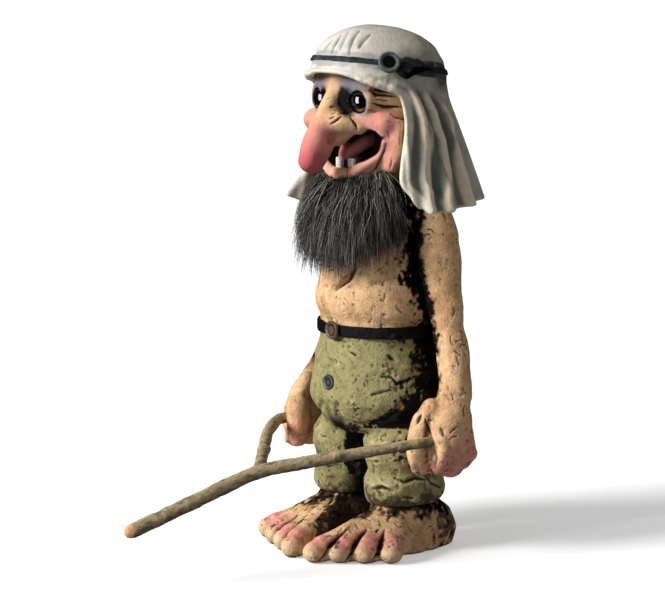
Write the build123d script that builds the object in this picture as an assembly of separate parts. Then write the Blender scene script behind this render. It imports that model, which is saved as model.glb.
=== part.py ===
from build123d import *
import os
from math import atan, cos, degrees, pi, radians, sin

# A folk troll figure in painted cast resin, standing on two bare feet and holding a forked twig.
# Millimetres. It faces -Y, its left side is +X and it stands on Z = 0. It is drawn about the axis of
# its body, and at the end the whole is moved so that the origin lies under the middle of its outline.
# A radius is a half-width, and an aspect is a form's depth over its width.

# Height stack, from the floor up
FOOT_HEIGHT = 21.0
LEG_LENGTH = 33.0
HIP_HEIGHT = 44.0
TORSO_HEIGHT = 60.0
BROW_HEIGHT = 45.0
CROWN_HEIGHT = 27.0

# Flats round a form: raise these for a smoother figure, lower them for a lighter one
BODY_SIDES = 36
LIMB_SIDES = 24
FITTING_SIDES = 24
SMALL_SIDES = 12

# Fits
GLUE_GAP = 0.1
SEAT_GAP = 0.3
TWIG_PLAY = 0.3

# Trousers and torso
BODY_ASPECT = 0.9
LEG_ASPECT = 1.2
LEG_X = 17.3
LEG_Y = 1.0
CUFF_RADIUS = 16.2
KNEE_RADIUS = 16.2
LEG_GROOVE = 1.8
LEG_TAPER = 6.0
CUFF_TUCK = 0.5
HIP_RADIUS = 30.4
SEAT_UNDERCUT = 8.5
WAIST_RADIUS = 26.8
WAIST_GATHER = 1.2
BELLY_SPREAD = 2.2
BELLY_ROUND = 1.6
CHEST_RADIUS = 22.5
CHEST_TAPER = 0.8
RIB_SPREAD = 1.0
NECK_RADIUS = 11.0
NECK_SPREAD = 5.0

# Feet
ANKLE_RADIUS = 13.6
ANKLE_SPREAD = 2.2
HEEL_RADIUS = 15.0
HEEL_REACH = 11.5
TOE_RADIUS = 5.6
TOE_SINK = 0.6
TOE_COUNT = 4
LEFT_BIG_TOE = (14.0, -46.0)
LEFT_LITTLE_TOE = (35.0, -22.0)
RIGHT_BIG_TOE = (-1.0, -47.0)
RIGHT_LITTLE_TOE = (-33.0, -33.0)

# Arms and fists
SHOULDER_REACH = 6.0
SHOULDER_Y = 7.0
SHOULDER_DROP = 15.0
SHOULDER_RADIUS = 9.6
ELBOW_REACH = 8.0
ELBOW_Y = 10.0
UPPER_ARM_DROP = 37.0
ELBOW_RADIUS = 6.8
ELBOW_NOTCH = 0.7
WRIST_REACH = 7.0
WRIST_Y = 7.0
FOREARM_DROP = 30.0
WRIST_RADIUS = 6.2
FIST_REACH = 5.0
FIST_SPREAD = 1.0
FIST_DROP = 22.0
FIST_RADIUS = 10.0
FIST_ASPECT = 1.2
FIST_HALF_HEIGHT = 17.0
FINGER_COUNT = 4
FINGER_RADIUS = 4.0
FINGER_SLOPE = 3.0
THUMB_RADIUS = 5.2
THUMB_OVERLAP = 1.6
THUMB_LEAN = 1.0
THUMB_INSET = 0.5
RIGHT_ARM_SWING = 2.5

# Head
FACE_RADIUS = 26.0
FACE_ASPECT = 0.87
FACE_REACH = 1.0
JAW_RADIUS = 16.5
JAW_REACH = 8.0
JAW_HEIGHT = 20.0
SKULL_UNDERCUT = 8.5
SKULL_ROUND = 2.0
EYE_RADIUS = 5.4
EYE_SPACING = 25.0
EYE_REACH = 19.5
EYE_DROP = 4.5
EYE_STEM_RADIUS = 1.2
EYE_STEM_LENGTH = 10.0
DOME_STEPS = 4
DOME_TOP = 80.0
BROW_RADIUS = 3.2
BROW_RISE = 2.0
BROW_START = (4.0, -2.5, -1.0)
BROW_END = (22.0, 9.0, 0.0)
CHEEK_RADIUS = 6.5
CHEEK_START = (11.0, 0.0, 6.5)
CHEEK_END = (21.5, 13.0, -4.0)
NOSE_RADIUS = 6.4
NOSE_INSET = 1.5
NOSE_BRIDGE_REACH = 10.8
NOSE_BRIDGE_DROP = 12.5
NOSE_LENGTH = 25.0
NOSE_SLOPE = 71.0
NOSTRIL_RADIUS = 5.4
NOSTRIL_SPREAD = 12.0
NOSTRIL_SETBACK = 12.0
MOUTH_HALF_WIDTH = 20.0
MOUTH_CORNER_RISE = 27.0
MOUTH_TOP_RISE = 21.0
MOUTH_FLOOR_RISE = 11.0
MOUTH_BACK = 8.0
LIP_WIDTH = 3.6
LIP_HEIGHT = 1.8
TONGUE_RADIUS = 9.0
TONGUE_HALF_HEIGHT = 3.0
TONGUE_LIFT = 0.5
TOOTH_WIDTH = 3.6
TOOTH_HEIGHT = 6.0
TOOTH_DEPTH = 2.2
TOOTH_SPACING = 8.0
TOOTH_REACH = 21.5

# Headscarf, headband and rosette
SCARF_WALL = 2.2
SCARF_RADIUS = 30.6
SCARF_LAP = 6.0
SCARF_LAP_TUCK = 2.0
SCARF_TILT = 8.0
CROWN_BOXINESS = 2.3
SKIRT_LENGTH = 52.0
SKIRT_TUCK = 1.2
SKIRT_FLARE = 11.3
SKIRT_TRAIL = 5.0
FOLD_COUNT = 16
FOLD_RADIUS = 4.2
FOLD_START_RADIUS = 0.5
FOLD_START_RISE = 0.3
FOLD_SINK = 1.2
OPENING_TOP = 6.0
OPENING_HALF_WIDTH = 29.5
OPENING_SHOULDER = (-3.0, -1.0)
OPENING_TEMPLE_DROP = 14.0
OPENING_SPREAD = 1.5
FLAP_CORNER_RISE = 13.0
FLAP_PAST_HEM = 8.0
LEFT_FLAP_SWEEP = 16.0
RIGHT_FLAP_SWEEP = 6.0
BAND_WIDTH = 3.6
BAND_THICKNESS = 1.2
BAND_RISE = 9.6
ROSETTE_RADIUS = 4.8
ROSETTE_HEIGHT = 2.6
ROSETTE_TURN = 56.0

# Beard
BEARD_LENGTH = 44.0
BEARD_RADIUS = 25.0
BEARD_LEAN = 24.0
BEARD_REACH = 6.0
BEARD_RISE = 8.0
BEARD_BACK = 2.0

# Belt, buckle and trouser button
BELT_WIDTH = 5.6
BELT_THICKNESS = 1.5
WAISTBAND_MARGIN = 1.0
BUCKLE_RADIUS = 4.2
BUCKLE_HEIGHT = 1.8
BUTTON_RADIUS = 3.6
BUTTON_HEIGHT = 2.0
BUTTON_DROP = 23.0
SHANK_RADIUS = 1.5
SHANK_LENGTH = 5.0

# Twig: the fork is placed from the left fist, the tip from the fork, and the knee from the right fist
TWIG_TIP_RADIUS = 2.9
TWIG_FORK_RADIUS = 2.7
TWIG_END_RADIUS = 2.0
TWIG_GRIP = 19.0
FORK_FROM_LEFT_FIST = (-31.0, -80.0, -8.5)
TIP_FROM_FORK = (-13.0, -57.0, -19.5)
KNEE_FROM_RIGHT_FIST = (15.5, -37.6, -1.4)
LEFT_GRIP_DROP = 1.0
RIGHT_GRIP_DROP = 3.5

# Square pegs that locate the castings
NECK_PEG_WIDTH = 8.0
WAIST_PEG_WIDTH = 10.0
LIMB_PEG_WIDTH = 6.0
PEG_LENGTH = 26.0
SHOULDER_SEAM_INSET = 1.0

# Levels and places that follow from these sizes
UP = Vector(0, 0, 1)
ACROSS = Vector(1, 0, 0)
AHEAD = Vector(0, -1, 0)
ANKLE_Z = FOOT_HEIGHT
CROTCH_Z = ANKLE_Z + LEG_LENGTH
WAIST_Z = CROTCH_Z + HIP_HEIGHT
NECK_Z = WAIST_Z + TORSO_HEIGHT
BROW_Z = NECK_Z + BROW_HEIGHT
EYE_Z = BROW_Z - EYE_DROP
WAISTBAND_HALF = BELT_WIDTH / 2 + WAISTBAND_MARGIN
BELLY_RADIUS = WAIST_RADIUS + BELLY_SPREAD
SHOULDER = Vector(CHEST_RADIUS + SHOULDER_REACH, SHOULDER_Y, NECK_Z - SHOULDER_DROP)
ELBOW = Vector(SHOULDER.X + ELBOW_REACH, ELBOW_Y, SHOULDER.Z - UPPER_ARM_DROP)
WRIST = Vector(ELBOW.X + WRIST_REACH, WRIST_Y, ELBOW.Z - FOREARM_DROP)
FIST = Vector(WRIST.X + FIST_SPREAD, WRIST.Y - FIST_REACH, WRIST.Z - FIST_DROP)
MOUTH_CORNER_Z = NECK_Z + MOUTH_CORNER_RISE
CROWN_BASE = Vector(0, -0.5, BROW_Z)
SKIRT_BASE = Vector(0, 1.0, BROW_Z)
CROWN_AXIS = Vector(0, sin(radians(SCARF_TILT)), cos(radians(SCARF_TILT)))
SKIRT_AXIS = Vector(0, sin(radians(SKIRT_TRAIL)), -cos(radians(SKIRT_TRAIL)))


def turned(base, axis, profile, sides=BODY_SIDES, aspect=1.0):
    """A form with flat sides about an axis, through heights along it and their radii."""
    across = AHEAD if abs(axis.normalized().X) > 0.9 else ACROSS
    frame = Plane(origin=base, x_dir=across, z_dir=axis)
    turns = [2 * pi * (side + 0.5) / sides for side in range(sides)]
    rings = []
    for height, radius in profile:
        points = [(radius * cos(turn), aspect * radius * sin(turn), height) for turn in turns]
        rings.append([frame.from_local_coords(point) for point in points])
    faces = [Face(Wire.make_polygon(rings[0])), Face(Wire.make_polygon(rings[-1]))]
    for lower, upper in zip(rings, rings[1:]):
        for side in range(sides):
            corners = (lower[side - 1], lower[side], upper[side], upper[side - 1])
            faces.append(Face(Wire.make_polygon(corners)))
    return Solid(Shell(faces))


def grown(profile, grow):
    return [(height, radius + grow) for height, radius in profile]


def between(start, end, profile, sides=SMALL_SIDES):
    """A turned form from one point to another, its heights given as shares of the way."""
    start, end = Vector(*start), Vector(*end)
    length = (end - start).length
    return turned(start, end - start, [(share * length, radius) for share, radius in profile], sides)


def rod(start, end, radius):
    return between(start, end, [(0, radius), (1, radius)])


def peg_and_bore(middle, direction, width):
    """A square peg centred on a seam, and the hole that it is glued into."""
    seam = Plane(origin=middle, z_dir=direction)
    spare = 2 * GLUE_GAP
    peg = seam * Box(width, width, PEG_LENGTH)
    bore = seam * Box(width + spare, width + spare, PEG_LENGTH + spare)
    return peg, bore


def stud(radius, height, shank_length):
    """A round button with a raised rim, its back on the local XY plane and its shank behind."""
    shape = turned((0, 0, 0), UP, [(0, radius), (0.7 * height, radius), (height, 0.85 * radius)], FITTING_SIDES)
    shape -= turned((0, 0, 0), UP, [(0.6 * height, 0.6 * radius), (1.1 * height, 0.9 * radius)], FITTING_SIDES)
    if shank_length > 0:
        shape += rod((0, 0, 0.3 * height), (0, 0, -shank_length), SHANK_RADIUS)
    return shape


def cut_by(shape, cuts):
    for cut in cuts:
        shape -= cut
    return shape


# Trousers: two legs with a rolled cuff and a baggy knee, the hips, and a waistband under the belt
def trousers():
    rise = HIP_HEIGHT - WAISTBAND_HALF
    shape = turned((0, 0, CROTCH_Z), UP, [
        (-0.04 * rise, HIP_RADIUS - SEAT_UNDERCUT),
        (0.09 * rise, HIP_RADIUS - 0.4 * SEAT_UNDERCUT),
        (0.32 * rise, HIP_RADIUS),
        (0.62 * rise, HIP_RADIUS),
        (0.87 * rise, WAIST_RADIUS + WAIST_GATHER),
        (rise, WAIST_RADIUS),
        (HIP_HEIGHT, WAIST_RADIUS),
    ], aspect=BODY_ASPECT)
    for side in (1, -1):
        shape += turned((side * LEG_X, LEG_Y, ANKLE_Z), UP, [
            (0, ANKLE_RADIUS + CUFF_TUCK),
            (0.11 * LEG_LENGTH, CUFF_RADIUS),
            (0.30 * LEG_LENGTH, CUFF_RADIUS),
            (0.45 * LEG_LENGTH, CUFF_RADIUS - LEG_GROOVE),
            (0.64 * LEG_LENGTH, KNEE_RADIUS),
            (0.88 * LEG_LENGTH, KNEE_RADIUS),
            (1.18 * LEG_LENGTH, KNEE_RADIUS - LEG_TAPER),
        ], aspect=LEG_ASPECT)
    return shape


# Torso: belly, chest and sloping shoulders
def torso(grow=0.0):
    rise = TORSO_HEIGHT - WAISTBAND_HALF
    return turned((0, 0, WAIST_Z + WAISTBAND_HALF), UP, grown([
        (-WAISTBAND_HALF, WAIST_RADIUS),
        (0, WAIST_RADIUS),
        (0.09 * rise, BELLY_RADIUS),
        (0.28 * rise, BELLY_RADIUS - BELLY_ROUND),
        (0.50 * rise, CHEST_RADIUS + RIB_SPREAD),
        (0.76 * rise, CHEST_RADIUS - CHEST_TAPER),
        (0.92 * rise, NECK_RADIUS + NECK_SPREAD),
        (rise, NECK_RADIUS),
    ], grow), aspect=BODY_ASPECT)


# Arms: the left one is drawn, and the right one is its mirror image swung forward at the shoulder
def swing_arm(shape, side):
    if side > 0:
        return shape
    pivot = Pos(0, SHOULDER.Y, SHOULDER.Z)
    return pivot * Rot(-RIGHT_ARM_SWING, 0, 0) * pivot.inverse() * mirror(shape, about=Plane.YZ)


def fist_centre(side):
    if side > 0:
        return FIST
    turn = radians(RIGHT_ARM_SWING)
    back, down = FIST.Y - SHOULDER.Y, SHOULDER.Z - FIST.Z
    return Vector(-FIST.X, SHOULDER.Y + back * cos(turn) - down * sin(turn),
                  SHOULDER.Z - back * sin(turn) - down * cos(turn))


def arm_form(side, grow=0.0):
    """Shoulder, arm, wrist and the closed hand without its fingers."""
    upper = ELBOW - SHOULDER
    shape = turned(SHOULDER, upper, grown([
        (-0.95 * SHOULDER_RADIUS, 0.40 * SHOULDER_RADIUS),
        (-0.55 * SHOULDER_RADIUS, 0.82 * SHOULDER_RADIUS),
        (0, SHOULDER_RADIUS),
        (0.45 * upper.length, 0.93 * SHOULDER_RADIUS),
        (0.85 * upper.length, 0.5 * (SHOULDER_RADIUS + ELBOW_RADIUS) - ELBOW_NOTCH),
        (upper.length, ELBOW_RADIUS),
        (upper.length + 0.7 * ELBOW_RADIUS, 0.6 * ELBOW_RADIUS),
    ], grow), LIMB_SIDES)
    shape += between(ELBOW, WRIST, grown([
        (-0.22, 0.62 * ELBOW_RADIUS),
        (0, ELBOW_RADIUS),
        (1, WRIST_RADIUS),
        (1.2, WRIST_RADIUS),
    ], grow), LIMB_SIDES)
    shape += turned(FIST, UP, grown([
        (-0.97 * FIST_HALF_HEIGHT, 0.50 * FIST_RADIUS),
        (-0.55 * FIST_HALF_HEIGHT, 0.93 * FIST_RADIUS),
        (0, FIST_RADIUS),
        (0.50 * FIST_HALF_HEIGHT, 0.84 * FIST_RADIUS),
        (1.15 * FIST_HALF_HEIGHT, 0.5 * WRIST_RADIUS),
    ], grow), LIMB_SIDES, FIST_ASPECT)
    return swing_arm(shape, side)


def fingers(side):
    """Four fingers curled under the hand and a thumb laid down its front."""
    front = FIST.Y - FIST_ASPECT * FIST_RADIUS
    low = FIST.Z - 0.60 * FIST_HALF_HEIGHT
    pitch = 2 * (FIST_ASPECT * FIST_RADIUS - FINGER_RADIUS) / (FINGER_COUNT - 1)
    thumb_x = FIST.X - TWIG_END_RADIUS - TWIG_PLAY - THUMB_RADIUS + THUMB_OVERLAP
    shape = between(
        (thumb_x + THUMB_LEAN, front + 2 * THUMB_INSET, FIST.Z + 0.60 * FIST_HALF_HEIGHT),
        (thumb_x, front + THUMB_INSET, FIST.Z - 0.95 * FIST_HALF_HEIGHT),
        [(0, 0.6 * THUMB_RADIUS), (0.3, THUMB_RADIUS), (0.8, 0.94 * THUMB_RADIUS), (1, 0.5 * THUMB_RADIUS)],
    )
    for finger in range(FINGER_COUNT):
        y = front + FINGER_RADIUS + finger * pitch
        shape += between(
            (FIST.X + 0.80 * FIST_RADIUS, y, low + FINGER_SLOPE),
            (FIST.X - 0.80 * FIST_RADIUS, y, low),
            [(0, 0.6 * FINGER_RADIUS), (0.15, FINGER_RADIUS), (0.85, FINGER_RADIUS), (1, 0.5 * FINGER_RADIUS)],
        )
    return swing_arm(shape, side)


def grip(side, drop):
    """The inner end of the twig, at the middle of a fist."""
    return fist_centre(side) - UP * drop


def arm(side, twig_end):
    """An arm and its fist, with the blind socket that the twig is pushed into."""
    socket = rod(twig_end + AHEAD * 4 * FIST_RADIUS, twig_end - AHEAD * TWIG_PLAY, TWIG_END_RADIUS + TWIG_PLAY)
    return arm_form(side) + fingers(side) - socket


# Feet: a heel, an ankle, and a ray for each toe that fans out from the ankle
def foot(side, big_toe, little_toe):
    big, little = Vector(*big_toe, 0), Vector(*little_toe, 0)
    ankle = Vector(side * LEG_X, LEG_Y, 0)
    shape = turned(ankle, UP, [(0, ANKLE_RADIUS + ANKLE_SPREAD), (FOOT_HEIGHT, ANKLE_RADIUS)],
                   LIMB_SIDES, LEG_ASPECT)
    shape += turned(ankle - AHEAD * HEEL_REACH, UP, [
        (0, 0.88 * HEEL_RADIUS),
        (0.35 * FOOT_HEIGHT, HEEL_RADIUS),
        (0.75 * FOOT_HEIGHT, 0.80 * HEEL_RADIUS),
        (0.95 * FOOT_HEIGHT, 0.45 * HEEL_RADIUS),
    ], LIMB_SIDES)
    for toe in range(TOE_COUNT):
        tip = big + (little - big) * (toe / (TOE_COUNT - 1))
        ahead = (tip - ankle).normalized()
        start = ankle + ahead * 0.3 * ANKLE_RADIUS + UP * 0.46 * FOOT_HEIGHT
        end = tip + ahead * 0.9 * TOE_RADIUS + UP * (TOE_RADIUS - TOE_SINK)
        shape += between(start, end, [
            (0, 1.7 * TOE_RADIUS),
            (0.60, 1.12 * TOE_RADIUS),
            (0.88, TOE_RADIUS),
            (1, 0.45 * TOE_RADIUS),
        ])
    reach = 8 * ANKLE_RADIUS
    return shape & Pos(ankle.X, ankle.Y, FOOT_HEIGHT / 2) * Box(reach, reach, FOOT_HEIGHT)


# Headscarf: the crown is turned about an axis that leans back, and the skirt about one that trails back
def crown_profile(inset):
    radius, height = SCARF_RADIUS - inset, CROWN_HEIGHT - inset
    profile = [(0, radius)]
    for share in (0.26, 0.45, 0.72, 0.88, 0.98):
        profile.append((share * height, radius * (1 - share ** CROWN_BOXINESS) ** (1 / CROWN_BOXINESS)))
    return profile


def skirt_profile(inset, hem_drop):
    """Down the skirt from just inside the crown to the hem, or past the hem by a drop."""
    radius = SCARF_RADIUS - SKIRT_TUCK - inset
    profile = [(-SCARF_LAP, radius - SCARF_LAP_TUCK)]
    for share in (0.0, 0.3, 0.65, 1.0):
        profile.append((share * SKIRT_LENGTH, radius + SKIRT_FLARE * share ** 1.6))
    if hem_drop > 0:
        profile.append((SKIRT_LENGTH + hem_drop, profile[-1][1]))
    return profile


def scarf_form(inset, hem_drop=0.0):
    crown = [(-SCARF_LAP, SCARF_RADIUS - inset - SCARF_LAP_TUCK)] + crown_profile(inset)
    return turned(CROWN_BASE, CROWN_AXIS, crown) + turned(SKIRT_BASE, SKIRT_AXIS, skirt_profile(inset, hem_drop))


def folds():
    """Tapering flutes down the skirt, one for each fold."""
    back = ACROSS.cross(SKIRT_AXIS)
    top = SCARF_RADIUS - SKIRT_TUCK
    flutes = []
    for fold in range(FOLD_COUNT):
        turn = 2 * pi * fold / FOLD_COUNT
        out = ACROSS * sin(turn) + back * cos(turn)
        start = SKIRT_BASE + SKIRT_AXIS * 0.12 * SKIRT_LENGTH + out * (top + FOLD_START_RISE)
        end = SKIRT_BASE + SKIRT_AXIS * 1.04 * SKIRT_LENGTH + out * (top + SKIRT_FLARE - FOLD_SINK)
        flutes.append(between(start, end, [(0, FOLD_START_RADIUS), (1, FOLD_RADIUS)]))
    return flutes


def opening_form():
    """The window that the face looks out of: an arch that spreads into the two front corners."""
    hem = BROW_Z - SKIRT_LENGTH
    half = OPENING_HALF_WIDTH

    def edge(sweep):
        return [
            (half + OPENING_SHOULDER[0], BROW_Z + OPENING_SHOULDER[1]),
            (half, BROW_Z - OPENING_TEMPLE_DROP),
            (half + OPENING_SPREAD, hem + FLAP_CORNER_RISE),
            (half + sweep, hem - FLAP_PAST_HEM),
        ]

    left = edge(LEFT_FLAP_SWEEP)
    right = [(-x, z) for x, z in reversed(edge(RIGHT_FLAP_SWEEP))]
    arch = ThreePointArc(right[-1], (0, BROW_Z + OPENING_TOP), left[0])
    face = Plane.XZ * make_face(Curve() + [arch, Polyline(*left, *right)])
    return extrude(face, 4 * SCARF_RADIUS)


def headscarf():
    reach = 8 * SCARF_RADIUS
    hem = Plane(origin=SKIRT_BASE + SKIRT_AXIS * SKIRT_LENGTH, x_dir=ACROSS, z_dir=SKIRT_AXIS)
    below = hem * Box(reach, reach, SKIRT_LENGTH, align=(Align.CENTER, Align.CENTER, Align.MIN))
    shape = scarf_form(0.0).fuse(*folds())
    return cut_by(shape, [below, scarf_form(SCARF_WALL, SCARF_WALL), opening_form()])


# Headband: a strap round the crown, square to its axis and so lower at the back than at the front
def band_radius(height):
    (low, low_radius), (high, high_radius) = crown_profile(0.0)[1:3]
    return low_radius + (high_radius - low_radius) * (height - low) / (high - low)


def headband():
    half = BAND_WIDTH / 2
    outer = [(height, band_radius(height)) for height in (BAND_RISE - half, BAND_RISE + half)]
    inner = [(height, band_radius(height)) for height in (BAND_RISE - BAND_WIDTH, BAND_RISE + BAND_WIDTH)]
    strap = turned(CROWN_BASE, CROWN_AXIS, grown(outer, GLUE_GAP + BAND_THICKNESS))
    return strap - turned(CROWN_BASE, CROWN_AXIS, grown(inner, GLUE_GAP))


def rosette_place():
    """On the band, to the left of the front, square to the crown."""
    lean = degrees(atan(band_radius(0) - band_radius(1)))
    out = band_radius(BAND_RISE) + 2 * GLUE_GAP + BAND_THICKNESS
    crown = Pos(*CROWN_BASE) * Rot(-SCARF_TILT, 0, 0)
    return crown * Rot(0, 0, ROSETTE_TURN) * Pos(0, -out, BAND_RISE) * Rot(90 - lean, 0, 0)


# Head: the skull fills the crown of the scarf, and the face stands in its opening
def head_form(grow=0.0):
    inset = SCARF_WALL + SEAT_GAP
    skull_radius = SCARF_RADIUS - inset
    skull = [
        (-0.26 * CROWN_HEIGHT, skull_radius - SKULL_UNDERCUT),
        (-0.09 * CROWN_HEIGHT, skull_radius - SKULL_ROUND),
    ] + crown_profile(inset)
    shape = turned(CROWN_BASE, CROWN_AXIS, grown(skull, grow))
    shape += turned((0, -FACE_REACH, NECK_Z), UP, grown([
        (0.13 * BROW_HEIGHT, 0.65 * FACE_RADIUS),
        (0.31 * BROW_HEIGHT, 0.885 * FACE_RADIUS),
        (0.58 * BROW_HEIGHT, FACE_RADIUS),
        (0.80 * BROW_HEIGHT, FACE_RADIUS),
        (BROW_HEIGHT, 0.98 * FACE_RADIUS),
    ], grow), aspect=FACE_ASPECT)
    shape += turned((0, -JAW_REACH, NECK_Z), UP, grown([
        (0.15 * JAW_HEIGHT - grow, 0.61 * JAW_RADIUS),
        (0.35 * JAW_HEIGHT, 0.91 * JAW_RADIUS),
        (0.65 * JAW_HEIGHT, JAW_RADIUS),
        (JAW_HEIGHT, 0.94 * JAW_RADIUS),
    ], grow))
    return shape


def mouth_outline():
    """A crescent grin between two arcs, seen from the front."""
    left, right = (-MOUTH_HALF_WIDTH, MOUTH_CORNER_Z), (MOUTH_HALF_WIDTH, MOUTH_CORNER_Z)
    upper = ThreePointArc(left, (0, NECK_Z + MOUTH_TOP_RISE), right)
    lower = ThreePointArc(right, (0, NECK_Z + MOUTH_FLOOR_RISE), left)
    return make_face(Curve() + [upper, lower])


def from_back(outline):
    """An outline drawn from the front, carried forward from the back of the mouth."""
    return Pos(0, -MOUTH_BACK, 0) * extrude(Plane.XZ * outline, 4 * MOUTH_HALF_WIDTH)


def eye(side, grow=0.0):
    """A glass eye, a dome with a flat back on a stem. Its socket is the same form one glue gap larger."""
    centre = Vector(side * EYE_SPACING / 2, -EYE_REACH, EYE_Z)
    radius = EYE_RADIUS + grow
    dome = [(-grow, radius)]
    for step in range(1, DOME_STEPS + 1):
        rise = radians(DOME_TOP * step / DOME_STEPS)
        dome.append((radius * sin(rise), radius * cos(rise)))
    shape = turned(centre, AHEAD, dome, FITTING_SIDES)
    stem_end = centre - AHEAD * (EYE_STEM_LENGTH + grow)
    return shape + rod(centre + AHEAD * 0.5 * radius, stem_end, EYE_STEM_RADIUS + grow)


def tooth(side, grow=0.0):
    """A flat tooth whose root stands in the lower lip. Its pocket is the same form one glue gap larger."""
    base_z = NECK_Z + MOUTH_FLOOR_RISE - 0.35 * TOOTH_HEIGHT - grow
    size = (TOOTH_WIDTH + 2 * grow, TOOTH_DEPTH + 2 * grow, TOOTH_HEIGHT + grow)
    block = Box(*size, align=(Align.CENTER, Align.CENTER, Align.MIN))
    return Pos(side * TOOTH_SPACING / 2, -TOOTH_REACH, base_z) * block


def tongue():
    """A broad tongue that lies forward from the back of the mouth."""
    middle_z = NECK_Z + 0.5 * (MOUTH_TOP_RISE + MOUTH_FLOOR_RISE) + TONGUE_LIFT
    lens = turned((0, -MOUTH_BACK - 0.5 * TONGUE_RADIUS, middle_z), UP, [
        (-TONGUE_HALF_HEIGHT, 0.45 * TONGUE_RADIUS),
        (0, TONGUE_RADIUS),
        (TONGUE_HALF_HEIGHT, 0.45 * TONGUE_RADIUS),
    ], FITTING_SIDES)
    reach = 4 * TONGUE_RADIUS
    front = Box(reach, reach, reach, align=(Align.CENTER, Align.MAX, Align.CENTER))
    return lens & Pos(0, -MOUTH_BACK, middle_z) * front


def nose():
    """A hooked nose, bent at its bridge and thickest near its drooping tip, with two wings."""
    root = Vector(0, -EYE_REACH + NOSE_INSET, BROW_Z)
    bridge = root + AHEAD * NOSE_BRIDGE_REACH - UP * NOSE_BRIDGE_DROP
    slope = radians(NOSE_SLOPE)
    tip = bridge + Vector(0, -cos(slope), -sin(slope)) * NOSE_LENGTH
    shape = between(root, bridge, [
        (0, 0.66 * NOSE_RADIUS),
        (1, 0.90 * NOSE_RADIUS),
        (1.15, 0.74 * NOSE_RADIUS),
    ], FITTING_SIDES)
    shape += between(bridge, tip, [
        (-0.12, 0.72 * NOSE_RADIUS),
        (0, 0.90 * NOSE_RADIUS),
        (0.55, NOSE_RADIUS),
        (0.86, 0.86 * NOSE_RADIUS),
        (1, 0.45 * NOSE_RADIUS),
    ], FITTING_SIDES)
    middle = bridge + (tip - bridge) * 0.2
    for side in (-1, 1):
        wing = middle + ACROSS * side * NOSTRIL_SPREAD - AHEAD * NOSTRIL_SETBACK
        shape += between(wing, middle, [
            (0, 0.5 * NOSTRIL_RADIUS),
            (0.3, NOSTRIL_RADIUS),
            (1, NOSTRIL_RADIUS),
        ])
    return shape


def face_place(side, level, place):
    """A point of the face: across from the middle, back from the eyes and up from a level."""
    across, back, rise = place
    return side * across, back - EYE_REACH, level + rise


def head():
    shape = head_form() + rod((0, 0, NECK_Z), (0, 0, NECK_Z + MOUTH_FLOOR_RISE), NECK_RADIUS)
    shape += from_back(offset(mouth_outline(), LIP_WIDTH)) & head_form(LIP_HEIGHT)
    brow_z = EYE_Z + EYE_RADIUS + BROW_RISE
    for side in (-1, 1):
        shape += between(
            face_place(side, brow_z, BROW_START),
            face_place(side, brow_z, BROW_END),
            [(0, 0.6 * BROW_RADIUS), (0.3, BROW_RADIUS), (0.7, BROW_RADIUS), (1, 0.4 * BROW_RADIUS)],
        )
        shape += between(
            face_place(side, MOUTH_CORNER_Z, CHEEK_START),
            face_place(side, MOUTH_CORNER_Z, CHEEK_END),
            [(0, 0.4 * CHEEK_RADIUS), (0.45, CHEEK_RADIUS), (0.8, CHEEK_RADIUS), (1, 0.5 * CHEEK_RADIUS)],
        )
    return shape - from_back(mouth_outline()) + nose()


def beard():
    """A fur strip that hangs from the jaw over the chest, drawn as the space that it fills."""
    lean = radians(BEARD_LEAN)
    shape = turned((0, -BEARD_REACH, NECK_Z + BEARD_RISE), Vector(0, -sin(lean), -cos(lean)), [
        (0, 0.72 * BEARD_RADIUS),
        (0.32 * BEARD_LENGTH, BEARD_RADIUS),
        (0.66 * BEARD_LENGTH, 0.80 * BEARD_RADIUS),
        (0.92 * BEARD_LENGTH, 0.46 * BEARD_RADIUS),
        (BEARD_LENGTH, 0.2 * BEARD_RADIUS),
    ])
    reach = 8 * BEARD_RADIUS
    ahead = Pos(0, -BEARD_BACK, NECK_Z) * Box(reach, reach, reach, align=(Align.CENTER, Align.MAX, Align.CENTER))
    return shape & ahead & scarf_form(SCARF_WALL + SEAT_GAP, SKIRT_LENGTH)


def belt():
    base = (0, 0, WAIST_Z)
    half = BELT_WIDTH / 2
    strap = turned(base, UP, grown([(-half, WAIST_RADIUS), (half, WAIST_RADIUS)], GLUE_GAP + BELT_THICKNESS),
                   aspect=BODY_ASPECT)
    return strap - turned(base, UP, grown([(-BELT_WIDTH, WAIST_RADIUS), (BELT_WIDTH, WAIST_RADIUS)], GLUE_GAP),
                          aspect=BODY_ASPECT)


def divining_twig(left_end, right_end):
    """A natural forked stick: a tapering stem from tip to left fist, and a side branch to the right fist."""
    fork = left_end + Vector(*FORK_FROM_LEFT_FIST)
    tip = fork + Vector(*TIP_FROM_FORK)
    knee = right_end + Vector(*KNEE_FROM_RIGHT_FIST)
    left_bend = left_end + AHEAD * TWIG_GRIP
    right_bend = right_end + AHEAD * TWIG_GRIP
    shape = between(tip, fork, [(0, TWIG_TIP_RADIUS), (1.03, TWIG_FORK_RADIUS)])
    shape += between(fork, left_bend, [(-0.02, TWIG_FORK_RADIUS), (1.02, TWIG_END_RADIUS)])
    shape += rod(left_bend + AHEAD * 0.5 * TWIG_END_RADIUS, left_end, TWIG_END_RADIUS)
    shape += between(fork, knee, [(0, TWIG_END_RADIUS), (1.03, TWIG_END_RADIUS)])
    shape += between(knee, right_bend, [(-0.05, TWIG_END_RADIUS), (1.05, TWIG_END_RADIUS)])
    shape += rod(right_bend + AHEAD * 0.5 * TWIG_END_RADIUS, right_end, TWIG_END_RADIUS)
    return shape


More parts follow.
